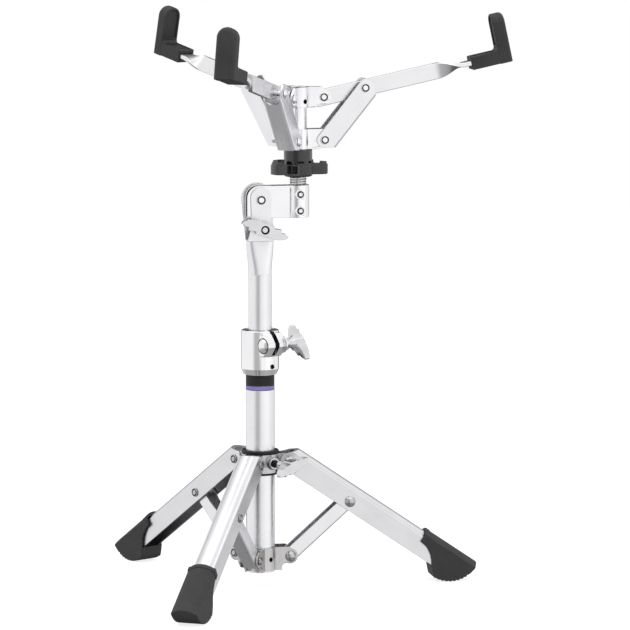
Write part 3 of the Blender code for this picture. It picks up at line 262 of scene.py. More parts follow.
def keep_common(body, tool):
    return combine(body, tool, "INTERSECT")


def beside(body, other):
    """Put a second closed shell into the same piece."""
    work = bmesh.new()
    work.from_mesh(body.data)
    work.from_mesh(other.data)
    work.to_mesh(body.data)
    work.free()
    bpy.data.objects.remove(other, do_unlink=True)
    return body


def soften(body, width, segments=2):
    bevel = body.modifiers.new("soften", "BEVEL")
    bevel.width = width
    bevel.segments = segments
    bevel.limit_method = "ANGLE"
    bevel.angle_limit = math.radians(35)
    bevel.use_clamp_overlap = False
    mesh = baked(body)
    body.modifiers.clear()
    body.data = mesh
    return body


def mark(body, test):
    """Give the faces whose middle passes the test the piece's second look."""
    for face in body.data.polygons:
        if test(face.center):
            face.material_index = 1
    return body


def pieces(nodes, body, names, places=(Matrix(),), edge=0.0, along="Z"):
    """Finish a solid and put a copy at each place, standing for the node of the same index."""
    if edge:
        soften(body, edge)
    mesh = body.data
    grain = mesh.attributes.new("grain", "FLOAT_VECTOR", "POINT")
    for value, vertex in zip(grain.data, mesh.vertices):
        x, y, z = vertex.co
        value.vector = (y, z, x) if along == "X" else (x, y, z)
    mesh.shade_smooth()
    mesh.set_sharp_from_angle(angle=math.radians(38))
    weights = body.modifiers.new("weights", "WEIGHTED_NORMAL")
    weights.keep_sharp = True
    weights.weight = 90
    finished = baked(body)
    bpy.data.objects.remove(body, do_unlink=True)
    kept = [face.material_index for face in finished.polygons]
    finished.materials.clear()
    for name in names.split():
        finished.materials.append(looks[name])
    finished.polygons.foreach_set("material_index", kept)
    for node, place in zip(nodes, places):
        copy = finished.copy()
        copy.transform(TO_METRES @ place)
        obj = bpy.data.objects.new("fine_" + node, copy)
        copy.name = obj.name
        bpy.context.scene.collection.objects.link(obj)
        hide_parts(node)
        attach(obj, BODY_OF[node])


def piece(node, body, names, place=Matrix(), edge=0.0, along="Z"):
    pieces([node], body, names, [place], edge, along)


def threes(name, body, names, places, edge=0.0, along="X"):
    pieces([f"{name}_{i + 1}" for i in range(3)], body, names, places, edge, along)


# Surface looks

def node(tree, kind, **inputs):
    made = tree.nodes.new("ShaderNode" + kind)
    for key, value in inputs.items():
        socket = made.inputs[key.replace("_", " ")]
        if isinstance(value, bpy.types.NodeSocket):
            tree.links.new(value, socket)
        else:
            socket.default_value = value
    return made


def noise_at(tree, where, scale, stretch, detail):
    """Noise of a size in turns per millimetre, drawn out along the piece by a factor."""
    mapped = node(tree, "Mapping", Vector=where, Scale=(scale, scale, scale / stretch))
    return node(tree, "TexNoise", Vector=mapped.outputs["Vector"], Scale=1.0, Detail=detail).outputs["Fac"]


def spread(tree, value, low, high):
    made = node(tree, "MapRange", Value=value)
    made.inputs["From Min"].default_value = 0.3
    made.inputs["From Max"].default_value = 0.7
    made.inputs["To Min"].default_value = low
    made.inputs["To Max"].default_value = high
    return made.outputs["Result"]


def add_look(name, dark, light, metallic, rough, grain, stretch, bump, coat=0.0, shine=0.5):
    """Finish with clouded colour, streaked roughness and a fine raised grain. Bump is its depth in mm."""
    material = bpy.data.materials.new(name)
    material.use_nodes = True
    tree = material.node_tree
    shader = tree.nodes["Principled BSDF"]
    where = tree.nodes.new("ShaderNodeAttribute")
    where.attribute_name = "grain"
    where = where.outputs["Vector"]
    cloud = noise_at(tree, where, 0.045, 1.5, 4.0)
    streak = noise_at(tree, where, grain, stretch, 3.0)
    speck = noise_at(tree, where, grain * 2.7, 1.0, 2.0)
    tint = node(tree, "Mix", Factor=spread(tree, cloud, 0.0, 1.0))
    tint.data_type = "RGBA"
    for slot, colour in ((6, dark), (7, light)):
        tint.inputs[slot].default_value = (*colour, 1.0)
    tree.links.new(tint.outputs[2], shader.inputs["Base Color"])
    blend = node(tree, "Math")
    blend.operation = "ADD"
    tree.links.new(spread(tree, streak, rough[0], rough[1]), blend.inputs[0])
    tree.links.new(spread(tree, cloud, 0.0, 0.3 * (rough[1] - rough[0])), blend.inputs[1])
    tree.links.new(blend.outputs["Value"], shader.inputs["Roughness"])
    height = node(tree, "Math")
    height.operation = "ADD"
    tree.links.new(streak, height.inputs[0])
    tree.links.new(speck, height.inputs[1])
    relief = node(tree, "Bump", Height=height.outputs["Value"], Strength=0.5, Distance=bump * 0.001)
    tree.links.new(relief.outputs["Normal"], shader.inputs["Normal"])
    shader.inputs["Metallic"].default_value = metallic
    shader.inputs["Specular IOR Level"].default_value = shine
    shader.inputs["Coat Weight"].default_value = coat
    shader.inputs["Coat Roughness"].default_value = 0.12
    looks[name] = material


add_look("anodised", (0.80, 0.80, 0.82), (0.86, 0.86, 0.88), 1.0, (0.26, 0.31), 0.9, 16.0, 0.0003)
add_look("satin", (0.70, 0.70, 0.72), (0.77, 0.77, 0.79), 1.0, (0.27, 0.33), 0.9, 16.0, 0.0004)
add_look("chrome", (0.82, 0.82, 0.84), (0.89, 0.89, 0.90), 1.0, (0.06, 0.11), 0.4, 2.0, 0.0010)
add_look("nickel", (0.46, 0.45, 0.45), (0.54, 0.53, 0.53), 1.0, (0.12, 0.20), 0.4, 2.0, 0.0016)
add_look("cast", (0.62, 0.62, 0.64), (0.72, 0.72, 0.74), 1.0, (0.07, 0.14), 0.5, 2.0, 0.003)
# Near-black metal for the hollows in rivet tails: painted shade.
add_look("groove", (0.05, 0.05, 0.05), (0.10, 0.10, 0.10), 1.0, (0.25, 0.40), 0.8, 2.0, 0.004)
# Near-black for threads and shanks inside holes, the hollow of the tilter's wing, the rim under the height
# bolt's head and the spring pins: painted shade.
add_look("recess", (0.004, 0.004, 0.005), (0.010, 0.010, 0.011), 0.0, (0.45, 0.60), 0.9, 1.0, 0.01, 0.0, 0.15)
add_look("steel", (0.80, 0.80, 0.80), (0.88, 0.88, 0.88), 1.0, (0.24, 0.36), 0.8, 2.0, 0.004)
add_look("rubber", (0.017, 0.017, 0.018), (0.027, 0.027, 0.028), 0.0, (0.48, 0.68), 0.8, 1.0, 0.03, 0.0, 0.4)
add_look("gloss_black", (0.003, 0.003, 0.003), (0.006, 0.006, 0.006), 0.0, (0.10, 0.20), 0.5, 1.0, 0.01, 0.5)
add_look("nylon", (0.008, 0.008, 0.009), (0.015, 0.015, 0.016), 0.0, (0.40, 0.54), 0.9, 2.0, 0.01, 0.0, 0.25)
add_look("lavender", (0.15, 0.12, 0.33), (0.20, 0.16, 0.40), 0.0, (0.30, 0.45), 1.0, 2.0, 0.006, 0.0, 0.3)


# Shared forms

def thread(radius, pitch, depth, low, high, steps=40, rows=8):
    """Screw thread as a solid along Z: its skin follows the helix."""
    levels = max(2, round((high - low) / pitch * rows))
    rings = []
    for k in range(levels + 1):
        z = low + (high - low) * k / levels
        ring = []
        for i in range(steps):
            phase = (z / pitch - i / steps) % 1
            r = radius - depth * abs(2 * phase - 1)
            ring.append((*arc((0, 0), r, 360 * i / steps, 0, 1)[0], z))
        rings.append(ring)
    return loft(rings)


def rivet(grip, shank, head_r, head_h, tail_r, tail_h, flip=False, ring=0.86):
    """Rivet along Y: domed head at -Y, rolled tail at +Y grooved out to the share ring, its hollow painted
    near-black as painted shade.
    """
    half = grip / 2 + GAP / 2
    dome_r = (head_r ** 2 + head_h ** 2) / (2 * head_h)
    sweep = math.degrees(math.asin(min(1.0, head_r / dome_r)))
    dome = arc((0, -half - head_h + dome_r), dome_r, -90 + sweep, -90, 9)
    tail = [(0, 0.9), (0.35 * ring, 1.0), (0.60 * ring, 0.95), (0.67 * ring, 0.7), (0.70 * ring, 0.25),
            (0.94 * ring, 0.2), (ring, 0.75), (0.96, 0.7), (1.0, 0.3), (1.0, 0.0)]
    line = [(r * tail_r, half + h * tail_h) for r, h in tail]
    line += [(shank, half), (shank, -half), (head_r, -half)]
    body = lathe(line + dome[1:-1] + [(0, -half - head_h)], 0.12, 48)
    # Faces in the tail's hollow take the second look: painted shade.
    groove = half + 0.02 * tail_h
    mark(body, lambda c: c.z > groove and 0.66 < math.hypot(c.x, c.y) / (tail_r * ring) < 0.98)
    body.data.transform((turn(180) if flip else Matrix()) @ ALONG_Y)
    return body


def spring_pin(inner, place):
    """Rolled pin with an open slot down its side, along a radius at the lug's angle."""
    edge = arc((0, 0), 1.7, 18, 342, 26) + arc((0, 0), 1.1, 335, 25, 22)
    return plate([rounded(edge, 0.1, 2)], 5.0, place @ LUG @ ALONG_X @ shift(z=inner + 2.5))


def pin_hole(inner, place):
    return rod(2.0, inner - GAP, inner + 10.0, place @ LUG @ ALONG_X)


def eared_ring(bore, wall, bottom, top, ear, inner, sheet=1.6):
    """Pressed ring with a pair of ears at each station."""
    body = rod(bore + wall, bottom, top, steps=96)
    for station in STATIONS:
        for side in (-1, 1):
            join(body, side_plate(ear, sheet, side * (inner + sheet / 2), station))
    return cut(body, rod(bore, bottom - 9, top + 9, steps=96))


def ear_outline(ring_r, bottom, top, centre, radius):
    """Side outline of an ear: level top, round lobe, hollow neck below."""
    x, z = centre
    neck = arc((x - radius * 0.55, z - radius * 1.55), radius * 0.62, 60, 165, 10)
    lobe = arc(centre, radius, 75, -105, 28)
    root = ring_r * 0.5
    return [(root, bottom), (root, top), (x - 1.8, top)] + lobe + neck + [(neck[-1][0], bottom)]


WING_BLADE = [(4.4, -5.6), (9.0, -5.7), (13.5, -5.0), (18.0, -3.4), (20.3, -1.7), (20.7, 0.3), (18.3, 0.7),
              (18.0, 1.6), (14.2, 1.3), (13.6, 4.1), (7.6, 3.1), (6.6, 5.3)]

WING_LENGTH = 19.5
SMALL_WING = 0.85                 # the spider's and the clamp's wings
LARGE_WING = 1.04                 # the tilter's, which shows its bolt's end in a recess


def wing(length, angle, scale):
    """Wing whose hub sits at Z = 0 and whose stepped blades end in a flat face at Z = length."""
    blade = [(x * scale, y * scale) for x, y in WING_BLADE]
    outline = rounded(blade + [(-x, -y) for x, y in blade], 0.3, 3)
    body = plate([outline], length, shift(z=length / 2 + GAP))
    back = length - 11.5
    reach = 21 * scale
    taper = [(0, length), (reach, length), (reach, length - 5, 2.0), (4, back, 2.0), (0, back)]
    keep_common(body, lathe(taper, 0.0, 96))
    front = length - GAP
    join(body, lathe([(0, front), (5.2, front), (5.2, back), (4, back - 2), (4, 0), (0, 0)], 0.5, 48))
    if scale == LARGE_WING:
        cut(body, rod(3.7, length - 3, length + 5))
    body.data.transform(turn(angle))
    soften(body, 0.3)
    if scale == LARGE_WING:
        # Faces inside the large wing's bolt hole take the second look: painted shade.
        mark(body, lambda c: length - 3.5 < c.z < length - 0.4 and math.hypot(c.x, c.y) < 3.8)
        end = [(0, length - 0.9), (2.6, length - 0.9, 0.5), (2.6, length - 3), (0, length - 3)]
        beside(body, lathe(end, 0.0, 40))
    return body


# Tripod

LOWER_PIN = shift(z=25.8)
body = lathe([(11.6, 215), (11.6, 176.2), (12.7, 176.2), (12.7, 14), (11.1, 14), (11.1, 172.2), (10.6, 176.2),
              (10.6, 215)], 0.4, 96)
piece("base_tube", cut(body, pin_hole(9.6, LOWER_PIN)), "anodised")

ear = [ear_outline(13.0, 15.6, 36.2, STRUT_PIVOT, 6.6), circle(STRUT_PIVOT, 2.9)]
body = eared_ring(13.0, 1.6, 15.6, 36.2, ear, 6.9)
piece("lower_spider", cut(body, pin_hole(9.6, LOWER_PIN)), "nickel", edge=0.3)
# The spring pin is drawn near-black all over: painted shade of its hole.
piece("lower_spider_pin", spring_pin(9.6, LOWER_PIN), "recess")

x, z = LEG_PIVOT
neck = arc((x - 4, z - 10), 4.0, 60, 165, 10)
lobe_start = math.degrees(math.acos(3.7 / 6.4))
ear = ([(7.45, 103), (7.45, 119.6), (x - 3.7, 119.6)] + arc((x, z), 3.7, 180, 360, 20)
       + arc((x, z), 6.4, lobe_start, -105, 24) + neck + [(neck[-1][0], 103)])
body = eared_ring(14.9, 1.6, 103, 119.6, [ear], 5.8)
radial = shift(z=z) @ LUG @ ALONG_X
join(body, lathe([(0, 20), (5.6, 20, 0.8), (5.6, 15.7), (0, 15.7)], 0.0, 48, radial))
piece("upper_spider", cut(body, rod(3.3, 0, 40, radial)), "nickel", edge=0.3)
body = lathe([(16.4, 122.7, 1.0), (16.4, 119.9), (14.6, 119.9), (14.6, 102.7), (15.8, 102.7), (15.8, 101.1),
              (13.0, 101.1), (13.0, 122.7)], 0.4, 96)
piece("spider_bush", body, "nylon")
body = wing(WING_LENGTH, 114, SMALL_WING)
# The thread takes the second look, near-black: painted shade inside the hole.
beside(body, mark(thread(3.0, 1.25, 0.45, 14.9 - 26.5, 0.2, 32), lambda c: True))
piece("spider_wing_bolt", body, "cast recess", radial @ shift(z=26.5))

outer = arc((8.0, 8.9), 1.5, 0, 90, 6) + arc((0, 4.145), 10.155, 51.98, 128.02, 28)[1:-1]
outer += arc((-8.0, 8.9), 1.5, 90, 180, 6)
inner = [(-7.7, 7.7)] + arc((0, 1.15), 9.75, 137, 43, 20) + [(7.7, 7.7)]
section = [(9.5, -7.6)] + outer + [(-9.5, -7.6), (-7.7, -7.6)] + inner + [(7.7, -7.6)]
body = extrude_x(section, -20, 178)
end_x, end_z = arc((0, 0), 8.5, 150, 150, 1)[0]
trim = arc((0, 0), 8.5, -90, -210, 24) + [(end_x + 18.2, end_z + 18.2), (188, end_z + 18.2), (188, -8.5)]
keep_common(body, side_plate([trim], 40))
for x in (0, STRUT_ON_LEG):
    cut(body, hole_y(2.9, x, 0))
threes("leg", body, "satin", LEGS, 0.35)

SOLE_R = 28.3
down = math.degrees(-math.pi / 2) + LEG_SLOPE
centre = (turn(-LEG_SLOPE, "Y") @ Vector((FOOT_R - LEG_PIVOT[0], 0, SOLE_R - LEG_PIVOT[1]))).xz
sole = []
for index in range(1, 11):
    middle = down + (index - 5) * 7.6
    sole += arc(centre, SOLE_R - 0.8, middle - 4.3, middle - 3.3, 2)
    sole += arc(centre, SOLE_R / math.cos(math.radians(2.128)), middle - 2.128, middle + 2.128, 1)


def boot(outline, grow):
    """Part of the boot: a side outline kept within a grown leg section, less the pocket for the leg."""
    def section(more, low):
        arch = arc((0, 0.88 - 2.4 + more), 15.82, 48.9, 131.1, 24)
        return ([(9.5 + more, low)] + arc((8.0 + more, 8.9 + more), 1.5, 0, 60, 4) + arch
                + arc((-8.0 - more, 8.9 + more), 1.5, 120, 180, 4) + [(-9.5 - more, low)])
    made = side_plate([outline], 40)
    keep_common(made, extrude_x(section(grow, -90), 100, 220))
    return soften(cut(made, extrude_x(section(GAP, -7.9), 100, 178.3)), 0.5)


body = boot(arc((138.5, -20.5), 25.3, 87, 27, 24) + sole + [(195.2, 10.4), (195.2, 24), (140, 24)], 2.4)
beside(body, boot(arc((138.5, -20.5), 25.0, 87, 76, 6) + [(143.4, 24), (139.7, 24)], 3.0))
threes("foot", body, "rubber", LEGS)

edge = rounded([(6.6, -6.1, 2.0), (6.6, 6.4, 0.4), (5.1, 6.4, 0.4), (5.1, -4.6, 0.8),
                (-5.1, -4.6, 0.8), (-5.1, 6.4, 0.4), (-6.6, 6.4, 0.4), (-6.6, -6.1, 2.0)], 0.4)
body = extrude_x(edge, -20, strut_run.length + 20)
trim = arc((0, 0), 7.0, -90, -270, 28) + [(0, 14), (strut_run.length, 14)]
keep_common(body, side_plate([trim + arc((strut_run.length, 0), 7.0, 90, -90, 28)], 40))
for x in (0, strut_run.length):
    cut(body, hole_y(2.9, x, 0))
threes("strut", body, "anodised", STRUTS, 0.3)

TRIPOD_RIVET = (2.6, 5.0, 2.8, 3.9, 1.1)
threes("leg_pivot_rivet", rivet(19.3, *TRIPOD_RIVET), "nickel groove", LEGS)
brace_ends = [p @ shift(STRUT_ON_LEG) for p in LEGS]
threes("leg_strut_rivet", rivet(19.3, *TRIPOD_RIVET), "nickel groove", brace_ends)
strut_ends = [s @ lifted(STRUT_PIVOT) for s in STATIONS]
threes("strut_pivot_rivet", rivet(17.3, *TRIPOD_RIVET), "nickel groove", strut_ends)

# Height clamp

COLLAR_PIN = shift(z=197.6)
body = lathe([(12.7, 179.8), (12.7, 176.5), (11.9, 176.5), (11.9, 179.8)], 0.25, 96)
piece("accent_ring", body, "lavender")
body = lathe([(12.6, 227.6), (12.6, 180.1), (11.9, 180.1), (11.9, 215.3), (10.5, 215.3),
              (10.5, 227.6)], 0.35, 96)
piece("collar_bush", cut(body, pin_hole(11.7, COLLAR_PIN)), "nylon")
body = lathe([(0, 229), (16.7, 229, 1.4), (16.7, 195.0, 1.8), (14.4, 189.7, 0.6), (0, 189.7)], 0.5, 96)
nose = rounded([(12.9, 10.3), (17.5, 10.3), (21.3, 5.36), (23.7, 1.6), (23.7, -1.6), (21.3, -5.36),
                (17.5, -10.3), (12.9, -10.3)], 2.0, 5)
join(body, side_plate([nose], 21.2, -1.2, LUG @ shift(z=217)))
bolt_axis = LUG @ shift(18.6, 0, 217) @ ALONG_Y
join(body, lathe([(4.4, 15.0), (5.0, 15.0), (7.6, 9.8), (7.6, 8.6), (4.4, 8.6)], 0.2, 48, bolt_axis))
cut(body, rod(12.9, 180, 240, steps=96))
cut(body, box((0, -2.3, 207.9), (50, 2.3, 240), LUG))
cut(body, rod(3.3, -60, 60, bolt_axis))
piece("height_collar", cut(body, pin_hole(11.7, COLLAR_PIN)), "chrome", edge=0.5)
# The spring pin is drawn near-black all over: painted shade of its hole.
piece("collar_pin", spring_pin(11.7, COLLAR_PIN), "recess")
dome_r = (6.6 ** 2 + 3.2 ** 2) / 6.4
sweep = math.degrees(math.asin(6.6 / dome_r))
dome = arc((0, -12.1 - 3.2 + dome_r), dome_r, -90 + sweep, -90, 12)
stem = [(0, 10), (3.0, 10), (3.0, -9), (3.0, -12.1), (7.0, -12.1), (7.0, -12.5)]
body = lathe(stem + dome[1:-1] + [(0, -15.3)], 0.2, 64)
# Shank, rim under the head and thread take the second look, near-black: painted shade in the hole and slit,
# and a painted shadow outline under the head.
mark(body, lambda c: abs(c.z) < 9.5 or (c.z > -12.6 and math.hypot(c.x, c.y) > 6.1))
beside(body, mark(thread(3.0, 1.0, 0.4, 9.9, 20.8, 32), lambda c: True))
piece("height_bolt", body, "chrome recess", bolt_axis)
body = cut(wing(22.4, 55, SMALL_WING), rod(3.3, -5, 11.5))
piece("height_wing_nut", body, "cast", bolt_axis @ shift(z=9.7))

# Tilter

def soft_limit(value, limit, blend=4.0):
    """Value held within plus and minus limit, with a rounded turn into it."""
    size = abs(value)
    near = max(0.0, blend - abs(size - limit)) / blend
    return math.copysign(max(0.0, min(size, limit) - near * near * blend / 4), value)


rings = []
for z in [276, 280] + [282 + 26 * i / 16 for i in range(17)]:
    share = min(1.0, max(0.0, (z - 280) / 25))
    wide = 10.2 + 1.7 * share * share * (3 - 2 * share)
    flat = 10.2 - 4.0 * min(1.0, max(0.0, (z - 281) / 26.5))
    rings.append([(wide * c, soft_limit(10.2 * s, flat), z) for c, s in circle((0, 0), 1.0, 96)])
body = lathe([(0, 278), (10.2, 278), (10.2, 89, 0.4), (8.6, 89, 0.4), (8.6, 272), (0, 272)], 0.0, 96)
join(body, loft(rings))
for side, middle, radius, waist in ((-1, (0, PIVOT_Z + 1.6), 9.3, 8.4), (1, (-1.5, PIVOT_Z), 14.0, 13.0)):
    foot = [(-waist, 320), (-11.9, 308.4), (-11.5, 307.2), (11.5, 307.2), (11.9, 308.4), (waist, 320)]
    join(body, side_plate([arc(middle, radius, 0, 180, 40) + foot], 1.7, side * 6.15))
soften(body, 0.35)
cut(body, hole_y(3.3, 0, PIVOT_Z))
piece("upper_tube", cut(body, hole_y(3.3, 0, SCREW_Z)), "anodised")
piece("tilter_rivet", rivet(14.3, 3.0, 4.6, 1.6, 4.4, 1.5, flip=True), "chrome groove", TILT)
body = plate([circle((0, 0), 6.0, 6)], 4.5, shift(z=9.55))
keep_common(body, lathe([(0, 11.8), (5.0, 11.8), (6.1, 11.1), (6.1, 8.0), (5.0, 7.3), (0, 7.3)], 0.1, 64))
body.data.transform(ALONG_Y)
piece("tilter_nut", cut(body, hole_y(3.3, 0, 0)), "chrome", shift(z=SCREW_Z), 0.2)
body = wing(WING_LENGTH, -17, LARGE_WING)
# The thread takes the second look, near-black: painted shade inside the hole.
beside(body, mark(thread(3.0, 1.25, 0.45, -19.4, 0.2, 32), lambda c: True))
piece("tilter_wing_bolt", body, "cast recess", shift(0, -7.3, SCREW_Z) @ ALONG_Y @ turn(180, "X"))

ROD_R = 7.6
ROD_BOLTS = {"rod_bolt_upper": 348.2, "rod_bolt_lower": 333.8}     # heights
HUB_PIN = shift(z=429)
outer_angle = math.degrees(math.asin(4.9 / 9.6))
inner_angle = math.degrees(math.asin(3.2 / 7.9))
plan = [(-18.2, -4.9)] + arc((ROD_X, 0), 9.6, -180 + outer_angle, 180 - outer_angle, 64)
plan += [(-18.2, 4.9), (-18.2, 3.2)]
plan += arc((ROD_X, 0), 7.9, 180 - inner_angle, -180 + inner_angle, 64) + [(-18.2, -3.2)]
body = plate([plan], 28.4, shift(z=-2.0))
trim = arc((-0.9, 1.2), 11.0, 90, 180, 28) + [(-11.9, -21.2), (49.2, -21.2), (49.2, 17.2), (-0.9, 17.2)]
keep_common(body, side_plate([trim], 50))
cut(body, hole_y(3.3, 0, 0))
shank = rod(ROD_R, 328, 353, steps=72)
for height in ROD_BOLTS.values():
    cut(body, hole_y(2.8, ROD_X, height - PIVOT_Z))
    cut(shank, hole_y(2.8, 0, height))
piece("tilter_bracket", body, "chrome", TILT, 0.3, "X")
beside(shank, mark(thread(ROD_R, 2.0, 0.95, 352.95, 388, 64), lambda c: True))
upper = lathe([(0, 441.2), (ROD_R, 441.2, 0.8), (ROD_R, 388), (0, 388)], 0.0, 72)
beside(shank, cut(upper, pin_hole(4.9, HUB_PIN)))
piece("threaded_rod", shank, "chrome steel", ROD)
for name, height in ROD_BOLTS.items():
    body = rivet(19.8, 2.5, 3.6, 1.5, 3.2, 2.5, flip=True, ring=0.9)
    collar = plate([circle((0, 0), 4.9, 6)], 2.0, shift(z=11.1))
    keep_common(collar, lathe([(0, 12.0), (4.3, 12.0), (5.0, 11.5), (5.0, 10.2), (0, 10.2)], 0.1, 64))
    collar.data.transform(turn(180) @ ALONG_Y)
    piece(name, beside(body, cut(collar, hole_y(3.4, 0, 0))), "chrome groove", shift(ROD_X, 0, height))

# Basket

ear = [ear_outline(7.9, 423.6, 441.6, ARM_PIVOT, 6.5), circle(ARM_PIVOT, 2.6)]
body = eared_ring(7.9, 2.0, 423.6, 441.6, ear, 2.7)
piece("arm_bracket", cut(body, pin_hole(4.9, HUB_PIN)), "chrome", ROD, 0.35)
# The spring pin is drawn near-black all over: painted shade of its hole.
piece("hub_pin", spring_pin(4.9, HUB_PIN), "recess", ROD)

x, z = LINK_PIVOT
slope = math.degrees(math.atan2(2.1, 3.2))
ear = [(3.95, 387.2), (3.95, 404.8), (x - 1, 404.8)] + arc((x + 3.2, z + 2.1), 4.4, 80, -45, 20)
ear += arc((x, z), 5.6, -40, -100, 10) + [(x - 3.6, 387.2)]
slot = arc((x, z), 3.0, slope + 90, slope + 270, 16)
slot += arc((x + 3.2, z + 2.1), 3.0, slope - 90, slope + 90, 16)
piece("slide_collar", eared_ring(7.9, 2.0, 387.2, 404.8, [ear, slot], 4.9), "chrome", ROD, 0.3)


def lobes(inset, z):
    """Five-lobed edge of the basket nut at a height, drawn in by a distance."""
    ring = []
    for index in range(200):
        angle = math.tau * index / 200
        wave = min(1.0, 1.25 * (0.5 + 0.5 * math.cos(5 * angle))) ** 0.8
        radius = 15 + 11 * wave - inset
        ring.append((radius * math.cos(angle), radius * math.sin(angle), z))
    return ring


body = lathe([(0, 386.9), (12.4, 386.9, 0.8), (12.4, 363.2, 1.4), (0, 363.2)], 0.0, 96)
knob = loft([lobes(0.9 - d, 365.6 + h) for d, h in arc((0, 0.9), 0.9, -90, 0, 4)]
            + [lobes(0.9 - d, 374.4 + h) for d, h in arc((0, -0.9), 0.9, 0, 90, 4)])
pads = loft([lobes(0.9, 370)] + [lobes(1.5 - d, 376.2 + h) for d, h in arc((0, -0.6), 0.6, 0, 90, 3)])
cut(pads, rod(20, 365, 380, steps=72))
join(body, join(knob, pads))
piece("basket_nut", cut(body, rod(7.9, 350, 400, steps=72)), "gloss_black", ROD @ turn(-13))


def bar(start, tip, height, thickness, corner):
    """Flat bar in the arm's plane: on edge, twisted flat, then bent up."""
    path = [(start, -0.7, 0.0, 0.0), (98.0, -0.7, 0.0, 0.0)] if start < 98 else [(start, -0.7, 0.0, 90.0)]
    if start < 98:
        for i in range(1, 25):
            share = i / 24
            path.append((98 + 32 * share, -0.7, 0.0, 90 * share * share * (3 - 2 * share)))
    path += [(x, z, 90 * i / 10, 90.0) for i, (x, z) in enumerate(arc((161.0, 3.8), 4.5, -90, 0, 10))]
    path.append((165.5, tip, 90.0, 90.0))
    a, b = thickness / 2, height / 2
    edge = rounded([(-a, -b), (a, -b), (a, b), (-a, b)], corner, 4)
    rings = []
    for x, z, rise, twist in path:
        frame_here = shift(x, 0, z) @ turn(-rise, "Y") @ turn(twist, "X")
        rings.append([frame_here @ Vector((0, s, t)) for s, t in edge])
    return loft(rings)


body = bar(-6.5, 31.0, 14.2, 4.0, 0.7)
for x in (0, LINK_ON_ARM):
    cut(body, hole_y(2.6, x, 0))
threes("arm", body, "anodised", ARMS)


def upright(low, inset):
    """Face of a claw's upright: square below, round above, drawn in by a distance."""
    half = 9.0 - inset
    return [(-half, low), (half, low)] + arc((0, 28.3), half, 0, 180, 36)


CLAW_END, CLAW_IN, CLAW_OUT, SEAT = 134.2, 159.8, 171.3, 5.0
layers = [(CLAW_IN + 1.1 - x, 1.1 - y) for x, y in arc((0, 0), 1.1, 0, 90, 4)]
layers += arc((CLAW_OUT - 4, 4), 4.0, -90, 0, 8)
body = loft([[(x, y, z) for y, z in upright(-6.9, inset)] for x, inset in layers])
outline = [(CLAW_END, -6.7), (165.5, -6.7), (165.5, SEAT + 3)]
outline += arc((CLAW_IN - 3, SEAT + 3), 3.0, 0, -90, 8) + [(CLAW_END, SEAT)]
join(body, soften(side_plate([outline], 17.6), 1.1, 3))
cut(body, extrude_x(upright(SEAT + 4.6, 2.1), CLAW_IN - 10, CLAW_IN + 1.3))
low, high = CLAW_END + 2, CLAW_IN - 3.6
channel = rounded([(low, -6.7), (high, -6.7), (high, 6.7), (low, 6.7)], 1.5)
cut(body, plate([channel], 6.0, shift(z=SEAT + 2.0)))
for k in range(5):
    x = CLAW_END + 4.2 + 3.7 * k
    join(body, box((x, -7.0, SEAT - 2.0), (x + 1.2, 7.0, SEAT - 0.5)))
cut(body, bar(126.0, 31.3, 14.8, 4.6, 0.8))
threes("grip", body, "rubber", ARMS, 0.25)

half, web, length = 8.4, 12.0, link_run.length
edge = rounded([(half, -6.8, 0.4), (half, web, 3.0), (-half, web, 3.0), (-half, -6.8, 0.4),
                (1.6 - half, -6.8, 0.4), (1.6 - half, web - 1.6, 1.4),
                (half - 1.6, web - 1.6, 1.4), (half - 1.6, -6.8, 0.4)], 0.4, 6)
body = extrude_x(edge, -20, length + 20)
trim = arc((0, 0), 8.0, -90, -230, 28) + [(-1.0, web - 0.8), (-1.0, 24)]
trim += [(length - 0.5, 24), (length - 0.5, web - 0.8)]
keep_common(body, side_plate([trim + arc((length, 0), 7.0, 50, -90, 24)], 40))
cut(body, rod(7.9, web - 1.9, 24, shift(-4.8)))
for x in (0, length):
    cut(body, hole_y(2.6, x, 0))
threes("link", body, "anodised", LINKS, 0.25)

BASKET_RIVET = (2.3, 4.2, 2.0, 4.0, 1.1)
arm_ends = [h @ lifted(ARM_PIVOT) for h in HUBS]
link_ends = [p @ shift(length) for p in LINKS]
threes("arm_pivot_rivet", rivet(8.9, *BASKET_RIVET, flip=True), "chrome groove", arm_ends)
threes("arm_link_rivet", rivet(17.1, *BASKET_RIVET, flip=True), "chrome groove", LINKS)
threes("link_collar_rivet", rivet(17.1, *BASKET_RIVET, flip=True), "chrome groove", link_ends)

# Studio: pale floor, white room with a dim camera side, soft lamps

scene = bpy.context.scene
FLOOR = 3000
corners = [(-FLOOR, -FLOOR), (FLOOR, -FLOOR), (FLOOR, FLOOR), (-FLOOR, FLOOR)]
floor = solid([(x, y, -0.2) for x, y in corners], [(0, 1, 2, 3)])
floor.data.transform(TO_METRES)
floor.name = "floor"
floor.visible_glossy = False
material = bpy.data.materials.new("pale_floor")
material.use_nodes = True
tree = material.node_tree
tree.nodes.clear()
where = tree.nodes.new("ShaderNodeTexCoord").outputs["Object"]
paper = node(tree, "TexNoise", Vector=where, Scale=60.0, Detail=3.0).outputs["Fac"]
tone = node(tree, "ValToRGB", Fac=paper)
tone.color_ramp.elements[0].color = (0.86, 0.86, 0.86, 1)
tone.color_ramp.elements[1].color = (0.90, 0.90, 0.90, 1)
matt = node(tree, "BsdfDiffuse", Color=tone.outputs["Color"])
glow = node(tree, "Emission", Strength=1.3)
path = tree.nodes.new("ShaderNodeLightPath")
seen = node(tree, "Math")
seen.operation = "MULTIPLY"
tree.links.new(path.outputs["Is Camera Ray"], seen.inputs[0])
seen.inputs[1].default_value = 0.62
mix = tree.nodes.new("ShaderNodeMixShader")
tree.links.new(seen.outputs["Value"], mix.inputs[0])
tree.links.new(matt.outputs["BSDF"], mix.inputs[1])
tree.links.new(glow.outputs["Emission"], mix.inputs[2])
